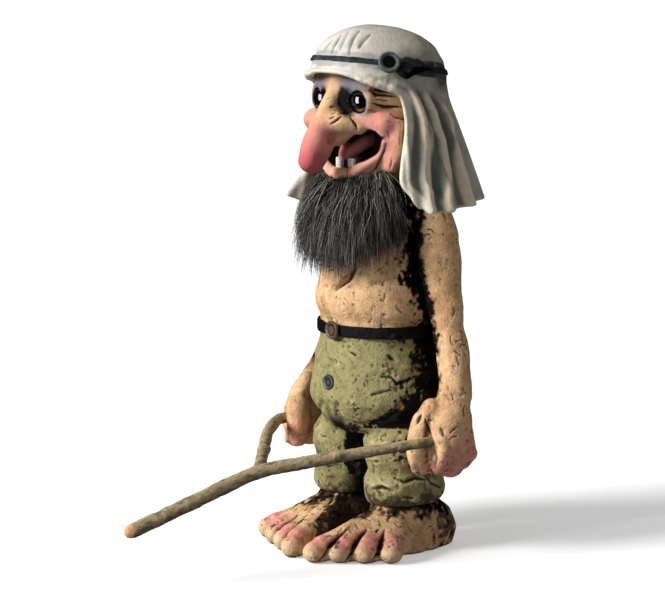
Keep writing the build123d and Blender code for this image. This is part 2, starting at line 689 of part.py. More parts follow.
def build():
    neck_peg, neck_bore = peg_and_bore(Vector(0, 0, NECK_Z), UP, NECK_PEG_WIDTH)
    waist_peg, waist_bore = peg_and_bore(Vector(0, 0, WAIST_Z), UP, WAIST_PEG_WIDTH)
    shoulder_pegs, shoulder_bores, ankle_pegs, ankle_bores = {}, {}, {}, {}
    for side in (1, -1):
        seam = Vector(side * (SHOULDER.X - SHOULDER_RADIUS + SHOULDER_SEAM_INSET), SHOULDER.Y, SHOULDER.Z)
        shoulder_pegs[side], shoulder_bores[side] = peg_and_bore(seam, ACROSS, LIMB_PEG_WIDTH)
        ankle = Vector(side * LEG_X, LEG_Y, ANKLE_Z)
        ankle_pegs[side], ankle_bores[side] = peg_and_bore(ankle, UP, LIMB_PEG_WIDTH)
    arm_rooms = [arm_form(1, SEAT_GAP), arm_form(-1, SEAT_GAP)]
    left_end = grip(1, LEFT_GRIP_DROP)
    right_end = grip(-1, RIGHT_GRIP_DROP)

    flat = BODY_ASPECT * cos(pi / BODY_SIDES)
    button_place = Pos(0, -flat * HIP_RADIUS - GLUE_GAP, WAIST_Z - BUTTON_DROP) * Rot(90, 0, 0)
    buckle_y = -flat * (WAIST_RADIUS + GLUE_GAP + BELT_THICKNESS) - GLUE_GAP
    shank_hole = rod((0, 0, SHANK_LENGTH), (0, 0, -SHANK_LENGTH - GLUE_GAP), SHANK_RADIUS + GLUE_GAP)
    rosette_hole = rosette_place() * shank_hole
    neck_room = rod((0, 0, NECK_Z - SEAT_GAP), (0, 0, BROW_Z), NECK_RADIUS + SEAT_GAP)
    face_cuts = [neck_bore]
    for side in (1, -1):
        face_cuts += [eye(side, GLUE_GAP), tooth(side, GLUE_GAP)]

    return {
        "trousers": cut_by(trousers(), [ankle_bores[1], ankle_bores[-1], waist_bore, button_place * shank_hole]),
        "torso": cut_by(torso(), [*arm_rooms, neck_bore, waist_bore, shoulder_bores[1], shoulder_bores[-1]]),
        "left_foot": foot(1, LEFT_BIG_TOE, LEFT_LITTLE_TOE) - ankle_bores[1],
        "right_foot": foot(-1, RIGHT_BIG_TOE, RIGHT_LITTLE_TOE) - ankle_bores[-1],
        "left_arm": arm(1, left_end) - shoulder_bores[1],
        "right_arm": arm(-1, right_end) - shoulder_bores[-1],
        "head": cut_by(head(), face_cuts),
        "headscarf": cut_by(headscarf(), [*arm_rooms, rosette_hole]),
        "headband": headband() - rosette_hole,
        "headband_rosette": rosette_place() * stud(ROSETTE_RADIUS, ROSETTE_HEIGHT, BAND_THICKNESS + SCARF_WALL),
        "left_eye": eye(1),
        "right_eye": eye(-1),
        "tongue": tongue(),
        "left_tooth": tooth(1),
        "right_tooth": tooth(-1),
        "beard": cut_by(beard(), [torso(SEAT_GAP), head_form(LIP_HEIGHT + SEAT_GAP), neck_room, *arm_rooms]),
        "belt": belt(),
        "belt_buckle": Pos(0, buckle_y, WAIST_Z) * Rot(90, 0, 0) * stud(BUCKLE_RADIUS, BUCKLE_HEIGHT, 0.0),
        "trouser_button": button_place * stud(BUTTON_RADIUS, BUTTON_HEIGHT, SHANK_LENGTH),
        "divining_twig": divining_twig(left_end, right_end),
        "neck_peg": neck_peg,
        "waist_peg": waist_peg,
        "left_shoulder_peg": shoulder_pegs[1],
        "right_shoulder_peg": shoulder_pegs[-1],
        "left_ankle_peg": ankle_pegs[1],
        "right_ankle_peg": ankle_pegs[-1],
    }


def export(shapes):
    """Writes each piece, with the origin moved under the middle of the whole outline."""
    boxes = [shape.bounding_box() for shape in shapes.values()]
    low = [min(tuple(box.min)[axis] for box in boxes) for axis in range(3)]
    high = [max(tuple(box.max)[axis] for box in boxes) for axis in range(3)]
    shift = Pos(-(low[0] + high[0]) / 2, -(low[1] + high[1]) / 2, 0)
    os.makedirs("parts", exist_ok=True)
    for name, shape in shapes.items():
        export_step(shift * shape, f"parts/{name}.step")
    print("moved by", tuple(shift.position), "low", low, "high", high)


export(build())
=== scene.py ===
import math

import bpy
import numpy as np
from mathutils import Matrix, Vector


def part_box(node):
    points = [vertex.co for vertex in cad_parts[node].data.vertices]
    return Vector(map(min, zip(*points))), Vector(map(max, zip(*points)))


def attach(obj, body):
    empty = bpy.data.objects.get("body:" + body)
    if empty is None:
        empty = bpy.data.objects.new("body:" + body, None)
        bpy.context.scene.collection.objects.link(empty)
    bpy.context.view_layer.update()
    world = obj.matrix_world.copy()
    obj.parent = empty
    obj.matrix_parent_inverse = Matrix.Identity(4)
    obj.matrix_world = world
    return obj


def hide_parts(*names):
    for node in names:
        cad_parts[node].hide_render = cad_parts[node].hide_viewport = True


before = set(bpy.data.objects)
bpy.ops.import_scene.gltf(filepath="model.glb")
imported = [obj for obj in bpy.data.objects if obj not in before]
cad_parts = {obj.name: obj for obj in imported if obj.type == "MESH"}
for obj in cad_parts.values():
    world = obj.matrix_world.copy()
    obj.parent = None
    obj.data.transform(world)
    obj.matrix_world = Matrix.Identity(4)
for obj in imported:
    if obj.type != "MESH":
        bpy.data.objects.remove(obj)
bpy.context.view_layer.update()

import openvdb
from mathutils import Vector
from mathutils.bvhtree import BVHTree
from mathutils.kdtree import KDTree

# The looks of a folk troll figure: painted castings with cracks, antiquing, painted shade and painted
# highlights, glass eyes, a fur beard and a twig.
# Forms are worked in millimetres about the axis of the body, where it faces -Y and its left is +X,
# and placed in metres in the row frame at the end.
SEED = 7
MM = 0.001
belt_low, belt_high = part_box("belt")
AXIS = np.array([0.0, (belt_low.y + belt_high.y) / 2 / MM, 0.0])

# Camera, as the photograph was taken
PHOTO_WIDTH, PHOTO_HEIGHT = 665, 603
VIEW_TURN = math.radians(50.0)
VIEW_DISTANCE = 1050.0
VIEW_HEIGHT = 265.0
AIM_HEIGHT = 108.1
AIM_SIDE = -19.93
PIXEL = 0.44352
RIGHT = np.array([math.cos(VIEW_TURN), math.sin(VIEW_TURN), 0.0])
AIM = RIGHT * AIM_SIDE + np.array([0.0, 0.0, AIM_HEIGHT])
EYE_POINT = RIGHT * AIM_SIDE + np.array([
    VIEW_DISTANCE * math.sin(VIEW_TURN), -VIEW_DISTANCE * math.cos(VIEW_TURN), VIEW_HEIGHT])
AHEAD = (AIM - EYE_POINT) / np.linalg.norm(AIM - EYE_POINT)
ABOVE = np.cross(RIGHT, AHEAD)
FOCAL_PIXELS = np.linalg.norm(AIM - EYE_POINT) / PIXEL

# Places on the figure
EYE = np.array([12.5, -19.5, 198.5])
EYE_RADIUS = 5.4
NOSE_RIDGE = np.array([[0, -20, 207], [0, -24.5, 202.5], [0, -28.5, 195],
                       [0, -32.5, 187], [0, -36.2, 179.5], [0, -38.8, 172.8]])
NOSE_THICK = (2.6, 3.1, 3.9, 4.9, 5.5, 4.9)
MOUTH_X = (0.0, 6.0, 11.0, 16.5, 20.0, 21.8)
MOUTH_UPPER = (179.5, 183.0, 185.2, 186.6, 185.4, 183.0)
MOUTH_LOWER = (168.0, 168.4, 170.6, 174.8, 179.0, 182.8)
MOUTH_BACK = -9.0
NEAR_CHEEK = np.array([20.6, -14.8, 189.0])
FAR_CHEEK = np.array([-20.5, -18.0, 188.5])
TOOTH_SHIFT = np.array([2.4, 1.0, 0.6])
ARM_PIVOT = np.array([0.0, 7.0, 143.0])
RIGHT_ARM_SWING = math.radians(2.5)
CROWN_BASE = np.array([0.0, -0.5, 203.0])
CROWN_LEAN = math.radians(8.0)
CROWN_AXIS = np.array([0.0, math.sin(CROWN_LEAN), math.cos(CROWN_LEAN)])
CROWN_RADIUS = 30.7
CROWN_HEIGHT = 27.0
CROWN_BOXINESS = 2.3
BAND_RISE = 9.6
SKIRT_BASE = np.array([0.0, 1.0, 203.0])
SKIRT_TRAIL = math.radians(5.0)
SKIRT_DOWN = np.array([0.0, math.sin(SKIRT_TRAIL), -math.cos(SKIRT_TRAIL)])
SKIRT_LENGTH = 52.0
MIRROR = np.array([-1.0, 1.0, 1.0])
random = np.random.default_rng(SEED)


def linear(red, green, blue):
    """A paint colour given as seen on a screen, 0 to 255."""
    values = np.array([red, green, blue]) / 255
    return np.where(values <= 0.04045, values / 12.92, ((values + 0.055) / 1.055) ** 2.4)


# Paints
TAN = linear(226, 184, 138)
TAN_DEEP = linear(188, 140, 98)
TAN_PALE = linear(252, 222, 184)
ROSE = linear(226, 142, 132)
ROSE_DEEP = linear(196, 92, 100)
LIP = linear(236, 166, 156)
# Dark brown, for antiquing and for painted shade under and between parts
WASH_AND_SHADE = linear(40, 24, 16)
TAN_BLACK = linear(66, 44, 28)
BLACK = linear(9, 7, 8)
LILAC = linear(140, 135, 154)
MOUTH_DARK = linear(40, 14, 16)
OLIVE = linear(158, 149, 103)
OLIVE_DEEP = linear(126, 120, 76)
OLIVE_PALE = linear(242, 224, 180)
OLIVE_BLACK = linear(62, 58, 34)
CLOTH = linear(186, 180, 164)
CLOTH_DEEP = linear(104, 112, 100)
CLOTH_PALE = linear(226, 218, 200)
RIDGE_PALE = linear(246, 228, 202)
TEAL_BLACK = linear(44, 56, 58)
BARK = linear(178, 158, 120)
BARK_DEEP = linear(82, 72, 58)
BARK_PALE = linear(190, 174, 144)
CUT_WOOD = linear(222, 172, 124)
NAIL = linear(232, 198, 158)


# Noise, the same at every run
HASH_STEPS = np.array([374761393, 668265263, 1440662683])
HASH_FACTOR = 1274126177


def lattice(points, seed):
    """Smooth values from 0 to 1 that vary over about one unit."""
    cell = np.floor(points).astype(np.int64)
    share = points - cell
    share = share * share * (3 - 2 * share)
    total = np.zeros(len(points))
    for corner in np.ndindex(2, 2, 2):
        key = (cell + corner) @ HASH_STEPS + seed * HASH_FACTOR
        key = (key ^ (key >> 13)) * HASH_FACTOR
        value = ((key ^ (key >> 16)) & 0xFFFF) / 65535
        weight = np.where(corner, share, 1 - share)
        total += value * (weight[:, 0] * weight[:, 1]) * weight[:, 2]
    return total


def noise(points, size, seed, octaves=3):
    """Layered noise from about -1 to 1, its largest lumps as big as the size in millimetres."""
    total, weight, reach = np.zeros(len(points)), 1.0, 0.0
    for octave in range(octaves):
        total += weight * (2 * lattice(points * 2 ** octave / size + 31.7, seed + octave) - 1)
        reach += weight
        weight *= 0.5
    return total / reach * 1.6


def ramp(values, low, high):
    """0 up to the low value, 1 from the high value, and smooth between."""
    share = np.clip((values - low) / (high - low), 0, 1)
    return share * share * (3 - 2 * share)


def apart(points, place):
    return np.linalg.norm(points - place, axis=1)


def dots(first, second):
    return np.einsum("ij,ij->i", first, second)


def unit(vectors):
    return vectors / np.maximum(np.linalg.norm(vectors, axis=1), 1e-9)[:, None]


def side_angle(points):
    """The turn from the front about the body's axis, to either side, in degrees."""
    return np.degrees(np.arctan2(np.abs(points[:, 0]), -points[:, 1]))


# Forms in clay: each is its lowest corner, its highest corner and its distance from a point, below 0 inside
def smooth_path(points, steps=6):
    """A curve through the points, which may carry further values such as a radius."""
    points = np.array(points, float)
    padded = np.vstack([2 * points[0] - points[1], points, 2 * points[-1] - points[-2]])
    curve = []
    for before, here, there, after in zip(padded, padded[1:], padded[2:], padded[3:]):
        for t in np.arange(steps) / steps:
            curve.append(0.5 * (2 * here + (there - before) * t
                                + (2 * before - 5 * here + 4 * there - after) * t ** 2
                                + (3 * here - before - 3 * there + after) * t ** 3))
    return np.array(curve + [points[-1]])


def chain(places, radii, steps=4):
    """A round form along a curve through the places, as thick as the radii say."""
    radii = np.interp(np.linspace(0, 1, len(places)), np.linspace(0, 1, len(radii)), radii)
    path = smooth_path(np.hstack([np.array(places, float), radii[:, None]]), steps)

    def distance(points):
        nearest = np.full(points.shape[:-1], 99.0)
        for start, end in zip(path, path[1:]):
            line = end[:3] - start[:3]
            share = np.clip((points - start[:3]) @ line / np.dot(line, line), 0, 1)
            away = np.linalg.norm(points - start[:3] - share[..., None] * line, axis=-1)
            nearest = np.minimum(nearest, away - start[3] - share * (end[3] - start[3]))
        return nearest

    reach = path[:, 3].max()
    return path[:, :3].min(0) - reach, path[:, :3].max(0) + reach, distance


def egg(centre, radii):
    """An egg-shaped form with its half-sizes along X, Y and Z."""
    centre, radii = np.array(centre, float), np.array(radii, float)

    def distance(points):
        near = np.linalg.norm((points - centre) / radii, axis=-1)
        slope = np.linalg.norm((points - centre) / radii ** 2, axis=-1)
        return near * (near - 1) / np.maximum(slope, 1e-6)

    return centre - radii, centre + radii, distance


def boxed(low, high, distance):
    """A form given by a distance of its own, worked only inside a box."""
    return np.array(low, float), np.array(high, float), distance


def mouth_form():
    """The open mouth: a grin between an upper and a lower line, carried back into the head."""
    def distance(points):
        across = np.abs(points[..., 0])
        above = points[..., 2] - np.interp(across, MOUTH_X, MOUTH_UPPER)
        below = np.interp(across, MOUTH_X, MOUTH_LOWER) - points[..., 2]
        return np.maximum.reduce([above, below, across - MOUTH_X[-1], points[..., 1] - MOUTH_BACK])

    return boxed((-22, -30, 166), (22, MOUTH_BACK, 188), distance)


def soft_least(first, second, blend):
    """The lesser of two distances, rounded off where they are close."""
    overlap = np.maximum(blend - np.abs(first - second), 0) / max(blend, 1e-6)
    return np.minimum(first, second) - overlap ** 2 * blend / 4


class Volume:
    """Clay on a grid of distances from its surface."""

    def __init__(self, low, high, pitch=0.6):
        self.pitch = pitch
        self.first = np.floor(np.array(low) / pitch).astype(int)
        counts = np.ceil(np.array(high) / pitch).astype(int) - self.first + 1
        self.axes = [pitch * (self.first[k] + np.arange(counts[k])) for k in range(3)]
        self.distance = np.full(counts, 9.0)

    def block(self, low, high):
        """The part of the grid between two corners: its slices and its points."""
        slices = []
        for axis, start, stop in zip(self.axes, low, high):
            begin = int(np.clip(np.searchsorted(axis, start), 0, len(axis)))
            slices.append(slice(begin, int(np.clip(np.searchsorted(axis, stop), begin, len(axis)))))
        points = np.meshgrid(*[axis[part] for axis, part in zip(self.axes, slices)], indexing="ij")
        return tuple(slices), np.stack(points, -1)

    def add(self, *forms, blend=1.5):
        self.merge(forms, blend, 1)

    def cut(self, *forms, blend=0.6):
        self.merge(forms, blend, -1)

    def merge(self, forms, blend, sign):
        for low, high, distance in forms:
            slices, points = self.block(low - blend - 2, high + blend + 2)
            self.distance[slices] = sign * soft_least(sign * self.distance[slices], distance(points), blend)

    def soften(self, rounds):
        for _ in range(rounds):
            for axis in range(3):
                padded = np.concatenate([np.take(self.distance, [0], axis), self.distance,
                                         np.take(self.distance, [-1], axis)], axis)
                count = self.distance.shape[axis]
                before = np.take(padded, range(count), axis)
                after = np.take(padded, range(2, count + 2), axis)
                self.distance = 0.5 * self.distance + 0.25 * (before + after)

    def form(self):
        """The surface as points and faces."""
        band = 3 * self.pitch
        grid = openvdb.FloatGrid(band)
        values = np.clip(self.distance, -band, band).astype(np.float32)
        grid.copyFromArray(values, ijk=tuple(self.first.tolist()))
        points, _, quads = grid.convertToPolygons(0.0, 0.0)
        points = points.astype(float) * self.pitch
        corners = points[quads]
        outward = np.cross(corners[:, 2] - corners[:, 0], corners[:, 3] - corners[:, 1])
        if np.sum(outward * corners.mean(1)) < np.sum(outward * points.mean(0)):
            quads = quads[:, ::-1]
        return points, quads.astype(np.int64)

    def surface(self):
        points, quads = self.form()
        return Surface((points, quads.tolist()))


def flipped(form):
    """The same form on the other side of the body."""
    low, high, distance = form
    return (np.array([-high[0], low[1], low[2]]), np.array([-low[0], high[1], high[2]]),
            lambda points: distance(points * MIRROR))


def both(*forms):
    return [*forms, *[flipped(form) for form in forms]]


def node_form(node):
    """A CAD node's own mesh, in millimetres about the axis."""
    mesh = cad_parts[node].data
    verts = np.zeros(len(mesh.vertices) * 3)
    mesh.vertices.foreach_get("co", verts)
    return verts.reshape(-1, 3) / MM - AXIS, [tuple(face.vertices) for face in mesh.polygons]


def node_volume(node, pitch=0.6, margin=4.0, soften=3):
    """A CAD node as clay, with its flats and edges rounded."""
    verts, faces = node_form(node)
    volume = Volume(verts.min(0) - margin, verts.max(0) + margin, pitch)
    steps = openvdb.createLinearTransform(voxelSize=pitch)
    grid = openvdb.FloatGrid.createLevelSetFromPolygons(
        verts.astype(np.float32), triangles=np.array(faces, np.uint32), transform=steps, halfWidth=8.0)
    values = np.zeros(volume.distance.shape, np.float32)
    grid.copyToArray(values, ijk=tuple(volume.first.tolist()))
    volume.distance = values.astype(float)
    volume.soften(soften)
    return volume


def photo_pixels(points):
    """Where points fall in the photograph."""
    away = points - EYE_POINT
    scale = FOCAL_PIXELS / (away @ AHEAD)
    return PHOTO_WIDTH / 2 + scale * (away @ RIGHT), PHOTO_HEIGHT / 2 - scale * (away @ ABOVE)


class Surface:
    """What a line of sight or a level line from the front meets."""

    def __init__(self, form):
        self.tree = BVHTree.FromPolygons([tuple(v) for v in form[0]], form[1])

    def seen(self, *pixels):
        """Points under pixels of the photograph, where they meet this surface."""
        found = []
        for x, y in pixels:
            line = AHEAD * FOCAL_PIXELS + RIGHT * (x - PHOTO_WIDTH / 2) - ABOVE * (y - PHOTO_HEIGHT / 2)
            hit = self.tree.ray_cast(Vector(EYE_POINT), Vector(line).normalized())[0]
            if hit is not None:
                found.append(np.array(hit))
        return found

    def front(self, *places):
        """Points met straight from the front, at these X and Z."""
        hits = [self.tree.ray_cast(Vector((x, -300.0, z)), Vector((0, 1, 0)))[0] for x, z in places]
        return [np.array(hit) for hit in hits if hit is not None]


class Casting:
    """Clay that is joined, softened, carved and painted."""

    def __init__(self, form, rounds=2):
        points, self.quads = form
        self.links = np.vstack([self.quads[:, [k, (k + 1) % 4]] for k in range(4)])
        self.degree = np.maximum(np.bincount(self.links[:, 0], minlength=len(points)), 1)
        self.points = self.relaxed(points, rounds)
        self.lines = np.zeros(len(self.points))
        self.paint = np.zeros((len(self.points), 3))
        self.settle()

    def relaxed(self, values, rounds):
        """Values at the points, averaged with their neighbours a number of times."""
        start, end = self.links.T
        for _ in range(rounds):
            sums = [np.bincount(start, column[end], len(values)) for column in values.T]
            values = 0.5 * (values + np.stack(sums, 1) / self.degree[:, None])
        return values

    def settle(self):
        """Takes up the points as they are now: normals, and what finds points near a place."""
        a, b, c, d = (self.points[self.quads[:, k]] for k in range(4))
        flat = np.cross(c - a, d - b)
        normals = np.zeros_like(self.points)
        for k in range(4):
            for axis in range(3):
                normals[:, axis] += np.bincount(self.quads[:, k], flat[:, axis], len(normals))
        self.normals = unit(normals)
        self.near = KDTree(len(self.points))
        for index, point in enumerate(self.points):
            self.near.insert(point, index)
        self.near.balance()
        self.surface = Surface((self.points, self.quads.tolist()))

    def along(self, path, width, taper=0.0):
        """How close each point is to a path, 1 on it and 0 from about two widths away."""
        close = np.zeros(len(self.points))
        path = np.array(path)
        lengths = np.linalg.norm(np.diff(path, axis=0), axis=1)
        places = np.concatenate([[0], np.cumsum(lengths)])
        steps = max(2, int(places[-1] / (0.4 * width)))
        for share in np.arange(steps + 1) / steps:
            place = [np.interp(share * places[-1], places, path[:, k]) for k in range(3)]
            reach = width * (1 - taper + taper * math.sin(math.pi * share))
            for _, index, distance in self.near.find_range(place, 2.2 * reach):
                close[index] = max(close[index], math.exp(-(distance / reach) ** 2))
        return close

    def carve(self, paths, width, depth, shade=1.0):
        """Cuts grooves along the paths, and keeps them for the dark paint."""
        for path in paths:
            if len(path) > 1:
                close = self.along(path, width * random.uniform(0.7, 1.2), 0.75)
                self.points = self.points - self.normals * (close * depth)[:, None]
                self.lines = np.maximum(self.lines, close * shade * random.uniform(0.5, 1))
        self.settle()

    def seen_paths(self, rows, mirror=False):
        """Paths drawn over the photograph, laid on this surface, and if asked on the other side too."""
        paths = [self.surface.seen(*row) for row in rows]
        if mirror:
            paths += [[self.snap(point * MIRROR) for point in path] for path in paths]
        return paths

    def snap(self, point):
        return np.array(self.near.find(point)[0])

    def wander(self, count, length, where):
        """Paths that start anywhere in a region and wander over the surface."""
        chosen = np.flatnonzero(where)
        paths = []
        for start in random.choice(chosen, count):
            place, line, path = self.points[start], random.normal(size=3), [self.points[start]]
            for _ in range(int(1 + length * random.uniform(0.4, 1.4))):
                line = line / np.linalg.norm(line) + random.normal(scale=0.4, size=3)
                _, index, _ = self.near.find(place)
                line = line - self.normals[index] * np.dot(line, self.normals[index])
                place = self.snap(place + line / np.linalg.norm(line))
                path.append(place)
            paths.append(path)
        return paths

    def ripple(self, heights):
        """Raises or lowers the surface by a height at each point."""
        self.points = self.points + self.normals * heights[:, None]
        self.settle()

    def hollow(self, rounds):
        """How far each point lies in a hollow, in millimetres; ridges are below 0."""
        return dots(self.relaxed(self.points, rounds) - self.points, self.normals)

    def mirrored_most(self, mask):
        """The larger of a mask of pixels at each point and at its place on the other side of the body."""
        masks = []
        for flip in (np.ones(3), MIRROR):
            facing = dots(self.normals * flip, EYE_POINT - self.points * flip) > 0
            masks.append(facing * mask(*photo_pixels(self.points * flip)))
        return np.maximum(*masks)

    def seen_spot(self, x, y, wide, high):
        """A soft oval mask about a pixel of the photograph, on both sides of the body."""
        return self.mirrored_most(
            lambda across, down: np.exp(-((across - x) / wide) ** 2 - ((down - y) / high) ** 2))

    def seen_right(self, edge, ragged):
        """A mask over what lies to the right of a line in the photograph, and the same on the other side."""
        columns, rows = zip(*edge)
        return self.mirrored_most(
            lambda across, down: ramp(across + ragged - np.interp(down, rows, columns), -3, 3)
            * (down > rows[0]) * (down < rows[-1]))

    def ball(self, place, outer, inner):
        """A mask about a place: 1 up to the inner distance, 0 from the outer one."""
        return ramp(-apart(self.points, place), -outer, -inner)

    def coat(self, colour, mask):
        self.paint = self.paint * (1 - mask[:, None]) + colour * mask[:, None]

    def base(self, colour, deep, share, size, seed, low=-0.1, high=0.9):
        """A first coat, with a second colour in patches of about this size."""
        self.paint[:] = colour
        self.coat(deep, share * ramp(noise(self.points, size, seed), low, high))

    def wash_shade_and_highlight(self, hollow_colour, pale, dark_share=1.0):
        """Dark antiquing paint with painted shade in the cracks and fine hollows, painted shade in the broad
        hollows, and pale paint over the ridges that is partly a painted highlight.
        """
        fine, broad = self.hollow(3), self.hollow(16)
        self.coat(pale, 0.55 * ramp(-broad, 0.03, 0.45))
        hollows = np.maximum(0.75 * ramp(fine, 0.02, 0.14), 0.7 * ramp(broad, 0.15, 0.8))
        self.coat(hollow_colour, dark_share * hollows)
        self.coat(hollow_colour * 0.45, 0.95 * ramp(self.lines, 0.15, 0.7))

    def blacken(self, mask, rubbed):
        """Black paint, which stands partly for painted shade between parts, with a dark shade of the paint
        below rubbed over its ridges.
        """
        self.coat(BLACK, mask)
        self.coat(rubbed, 0.8 * mask * ramp(-self.hollow(2), 0.015, 0.08))

    def weather(self, seed, where, cracks, pits=0.45):
        """Lumps, pits and short cracks in the hand-worked clay."""
        holes = ramp(noise(self.points, 2.2, seed + 5), 0.45, 0.95)
        self.ripple(0.4 * noise(self.points, 9, seed) - pits * holes)
        self.carve(self.wander(cracks, 3.0, where), 0.38, 0.4, 0.85)

    def finish(self, name, material, node, body="figure"):
        """Stands this casting in the scene, in place of a CAD node."""
        stand(name, self.points, self.quads.tolist(), self.paint, material, [node], body)


def new_piece(name, points, faces, material):
    mesh = bpy.data.meshes.new(name)
    mesh.from_pydata(points, [], faces)
    mesh.materials.append(material)
    piece = bpy.data.objects.new(name, mesh)
    bpy.context.scene.collection.objects.link(piece)
    return piece


def stand(name, points, faces, paint, material, nodes, body="figure"):
    """Puts a finished piece into the scene, in place of the CAD nodes that it stands for."""
    piece = new_piece(name, ((points + AXIS) * MM).tolist(), faces, material)
    piece.data.polygons.foreach_set("use_smooth", np.ones(len(faces), bool))
    colour = piece.data.color_attributes.new("paint", "FLOAT_COLOR", "POINT")
    opaque = np.ones((len(paint), 1))
    colour.data.foreach_set("color", np.hstack([np.clip(paint, 0, 1), opaque]).ravel())
    piece.data.update()
    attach(piece, body)
    if nodes:
        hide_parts(*nodes)


# Materials
def painted(name, rough, grain_size, grain, relief, pits=0.0, shine=0.5, coat=0.0, others=()):
    """Hand paint: the painted colour, a mottle over it, dark pits, uneven gloss and a fine relief."""
    material = bpy.data.materials.new(name)
    material.use_nodes = True
    tree = material.node_tree
    shader = tree.nodes["Principled BSDF"]
    fixed = {"Specular IOR Level": shine, "Coat Weight": coat, "Coat Roughness": 0.06, **dict(others)}
    for socket, number in fixed.items():
        shader.inputs[socket].default_value = number
    place = tree.nodes.new("ShaderNodeTexCoord")
    colour = tree.nodes.new("ShaderNodeVertexColor")
    colour.layer_name = "paint"

    def added(kind, result, links, values):
        """A new node with some sockets linked and others set: its result."""
        node = tree.nodes.new(kind)
        for socket, source in links.items():
            tree.links.new(source, node.inputs[socket])
        for socket, number in values.items():
            node.inputs[socket].default_value = number
        return node.outputs[result]

    def speckle(size, detail, distortion=0.0):
        return added("ShaderNodeTexNoise", "Fac", {"Vector": place.outputs["Object"]},
                     {"Scale": 1 / (size * MM), "Detail": detail, "Distortion": distortion})

    def spread(value, low, high, start, end):
        return added("ShaderNodeMapRange", "Result", {"Value": value},
                     {"From Min": low, "From Max": high, "To Min": start, "To Max": end})

    def scaled(vector, value):
        node = tree.nodes.new("ShaderNodeVectorMath")
        node.operation = "SCALE"
        tree.links.new(vector, node.inputs[0])
        tree.links.new(value, node.inputs["Scale"])
        return node.outputs["Vector"]

    def embossed(depth, **links):
        return added("ShaderNodeBump", "Normal", links, {"Distance": depth * MM})

    mottle = speckle(grain_size, 5.0)
    surface = scaled(colour.outputs["Color"], spread(mottle, 0.3, 0.7, 1 - grain, 1 + 0.6 * grain))
    normal = embossed(relief, Height=speckle(grain_size / 3, 4.0))
    if pits:
        holes = spread(speckle(1.9, 4.0, 1.6), 0.6, 0.74, 1.0, 1 - pits)
        surface = scaled(surface, holes)
        normal = embossed(0.4, Height=holes, Normal=normal)
    tree.links.new(surface, shader.inputs["Base Color"])
    tree.links.new(spread(mottle, 0, 1, *rough), shader.inputs["Roughness"])
    tree.links.new(normal, shader.inputs["Normal"])
    return material


skin_paint = painted("skin_paint", (0.5, 0.85), 2.5, 0.22, 0.4, pits=0.45, shine=0.12)
face_paint = painted("face_paint", (0.4, 0.7), 3.5, 0.14, 0.2, shine=0.14)
trouser_paint = painted("trouser_paint", (0.6, 0.9), 2.4, 0.24, 0.5, pits=0.45, shine=0.2)
scarf_paint = painted("scarf_paint", (0.4, 0.7), 4.0, 0.12, 0.2, shine=0.3)
band_paint = painted("band_paint", (0.35, 0.7), 1.2, 0.3, 0.25, shine=0.3)
trim_metal = painted("trim_metal", (0.25, 0.55), 1.0, 0.35, 0.15, others={"Metallic": 0.6})
eye_glass = painted("eye_glass", (0.04, 0.06), 1.5, 0.2, 0.0, coat=1.0, others={"IOR": 1.9})
wet_paint = painted("wet_paint", (0.45, 0.65), 1.5, 0.12, 0.12, shine=0.3)
tooth_enamel = painted("tooth_enamel", (0.15, 0.3), 1.2, 0.1, 0.05, coat=0.6)
beard_fur = painted("beard_fur", (0.35, 0.6), 1.0, 0.15, 0.02, shine=0.3)
belt_leather = painted("belt_leather", (0.4, 0.75), 0.8, 0.3, 0.25, shine=0.25)
twig_bark = painted("twig_bark", (0.65, 0.95), 1.2, 0.3, 0.4)
peg_wood = painted("peg_wood", (0.6, 0.85), 1.0, 0.25, 0.1)


# Head
def lip_path(surface, line, drop, sink):
    """Along a lip from corner to corner, off the mouth's edge by a drop and sunk into the face."""
    across = np.linspace(-MOUTH_X[-1], MOUTH_X[-1], 15)
    places = [(0.97 * x, np.interp(abs(x), MOUTH_X, line) + drop) for x in across]
    return [point + [0, sink, 0] for point in surface.front(*places)]


def eye_ring(start, stop, lift, ahead):
    """An arc about the left eye, between two angles seen from the front."""
    turns = np.radians(np.linspace(start, stop, 9))
    return [EYE + [lift * math.cos(turn), -ahead, lift * math.sin(turn)] for turn in turns]


FACE_CREASES = (
    ((373, 103), (377, 105), (384, 107), (402, 107)),
    ((391, 114), (396, 117), (405, 120)),
    ((350, 117), (354, 122), (356, 125), (357, 130)),
    ((342, 116), (337, 120), (330, 125)),
    ((364, 86), (376, 95), (395, 97)),
    ((386, 144), (384, 152), (380, 161), (376, 169), (367, 175)),
)
FACE_LINES = (
    ((331, 115), (336, 112)), ((330, 107), (335, 107)), ((329, 119), (335, 116)), ((387, 130), (390, 139)),
    ((400, 122), (403, 135)), ((368, 110), (376, 113)), ((374, 99), (388, 101)), ((392, 158), (390, 170)),
)
CHEEK_FOLD = ((359, 129), (369, 122), (384, 121), (395, 126), (399, 138), (398, 153), (391, 167))
NECK_END = 158.0


def behind_face(points):
    """Below 0 outside the round that fits in the scarf, which opens towards the face."""
    room = 27.2 + 0.8 * np.maximum(-7 - points[..., 1], 0)
    return room - np.hypot(points[..., 0], points[..., 1] - 1)


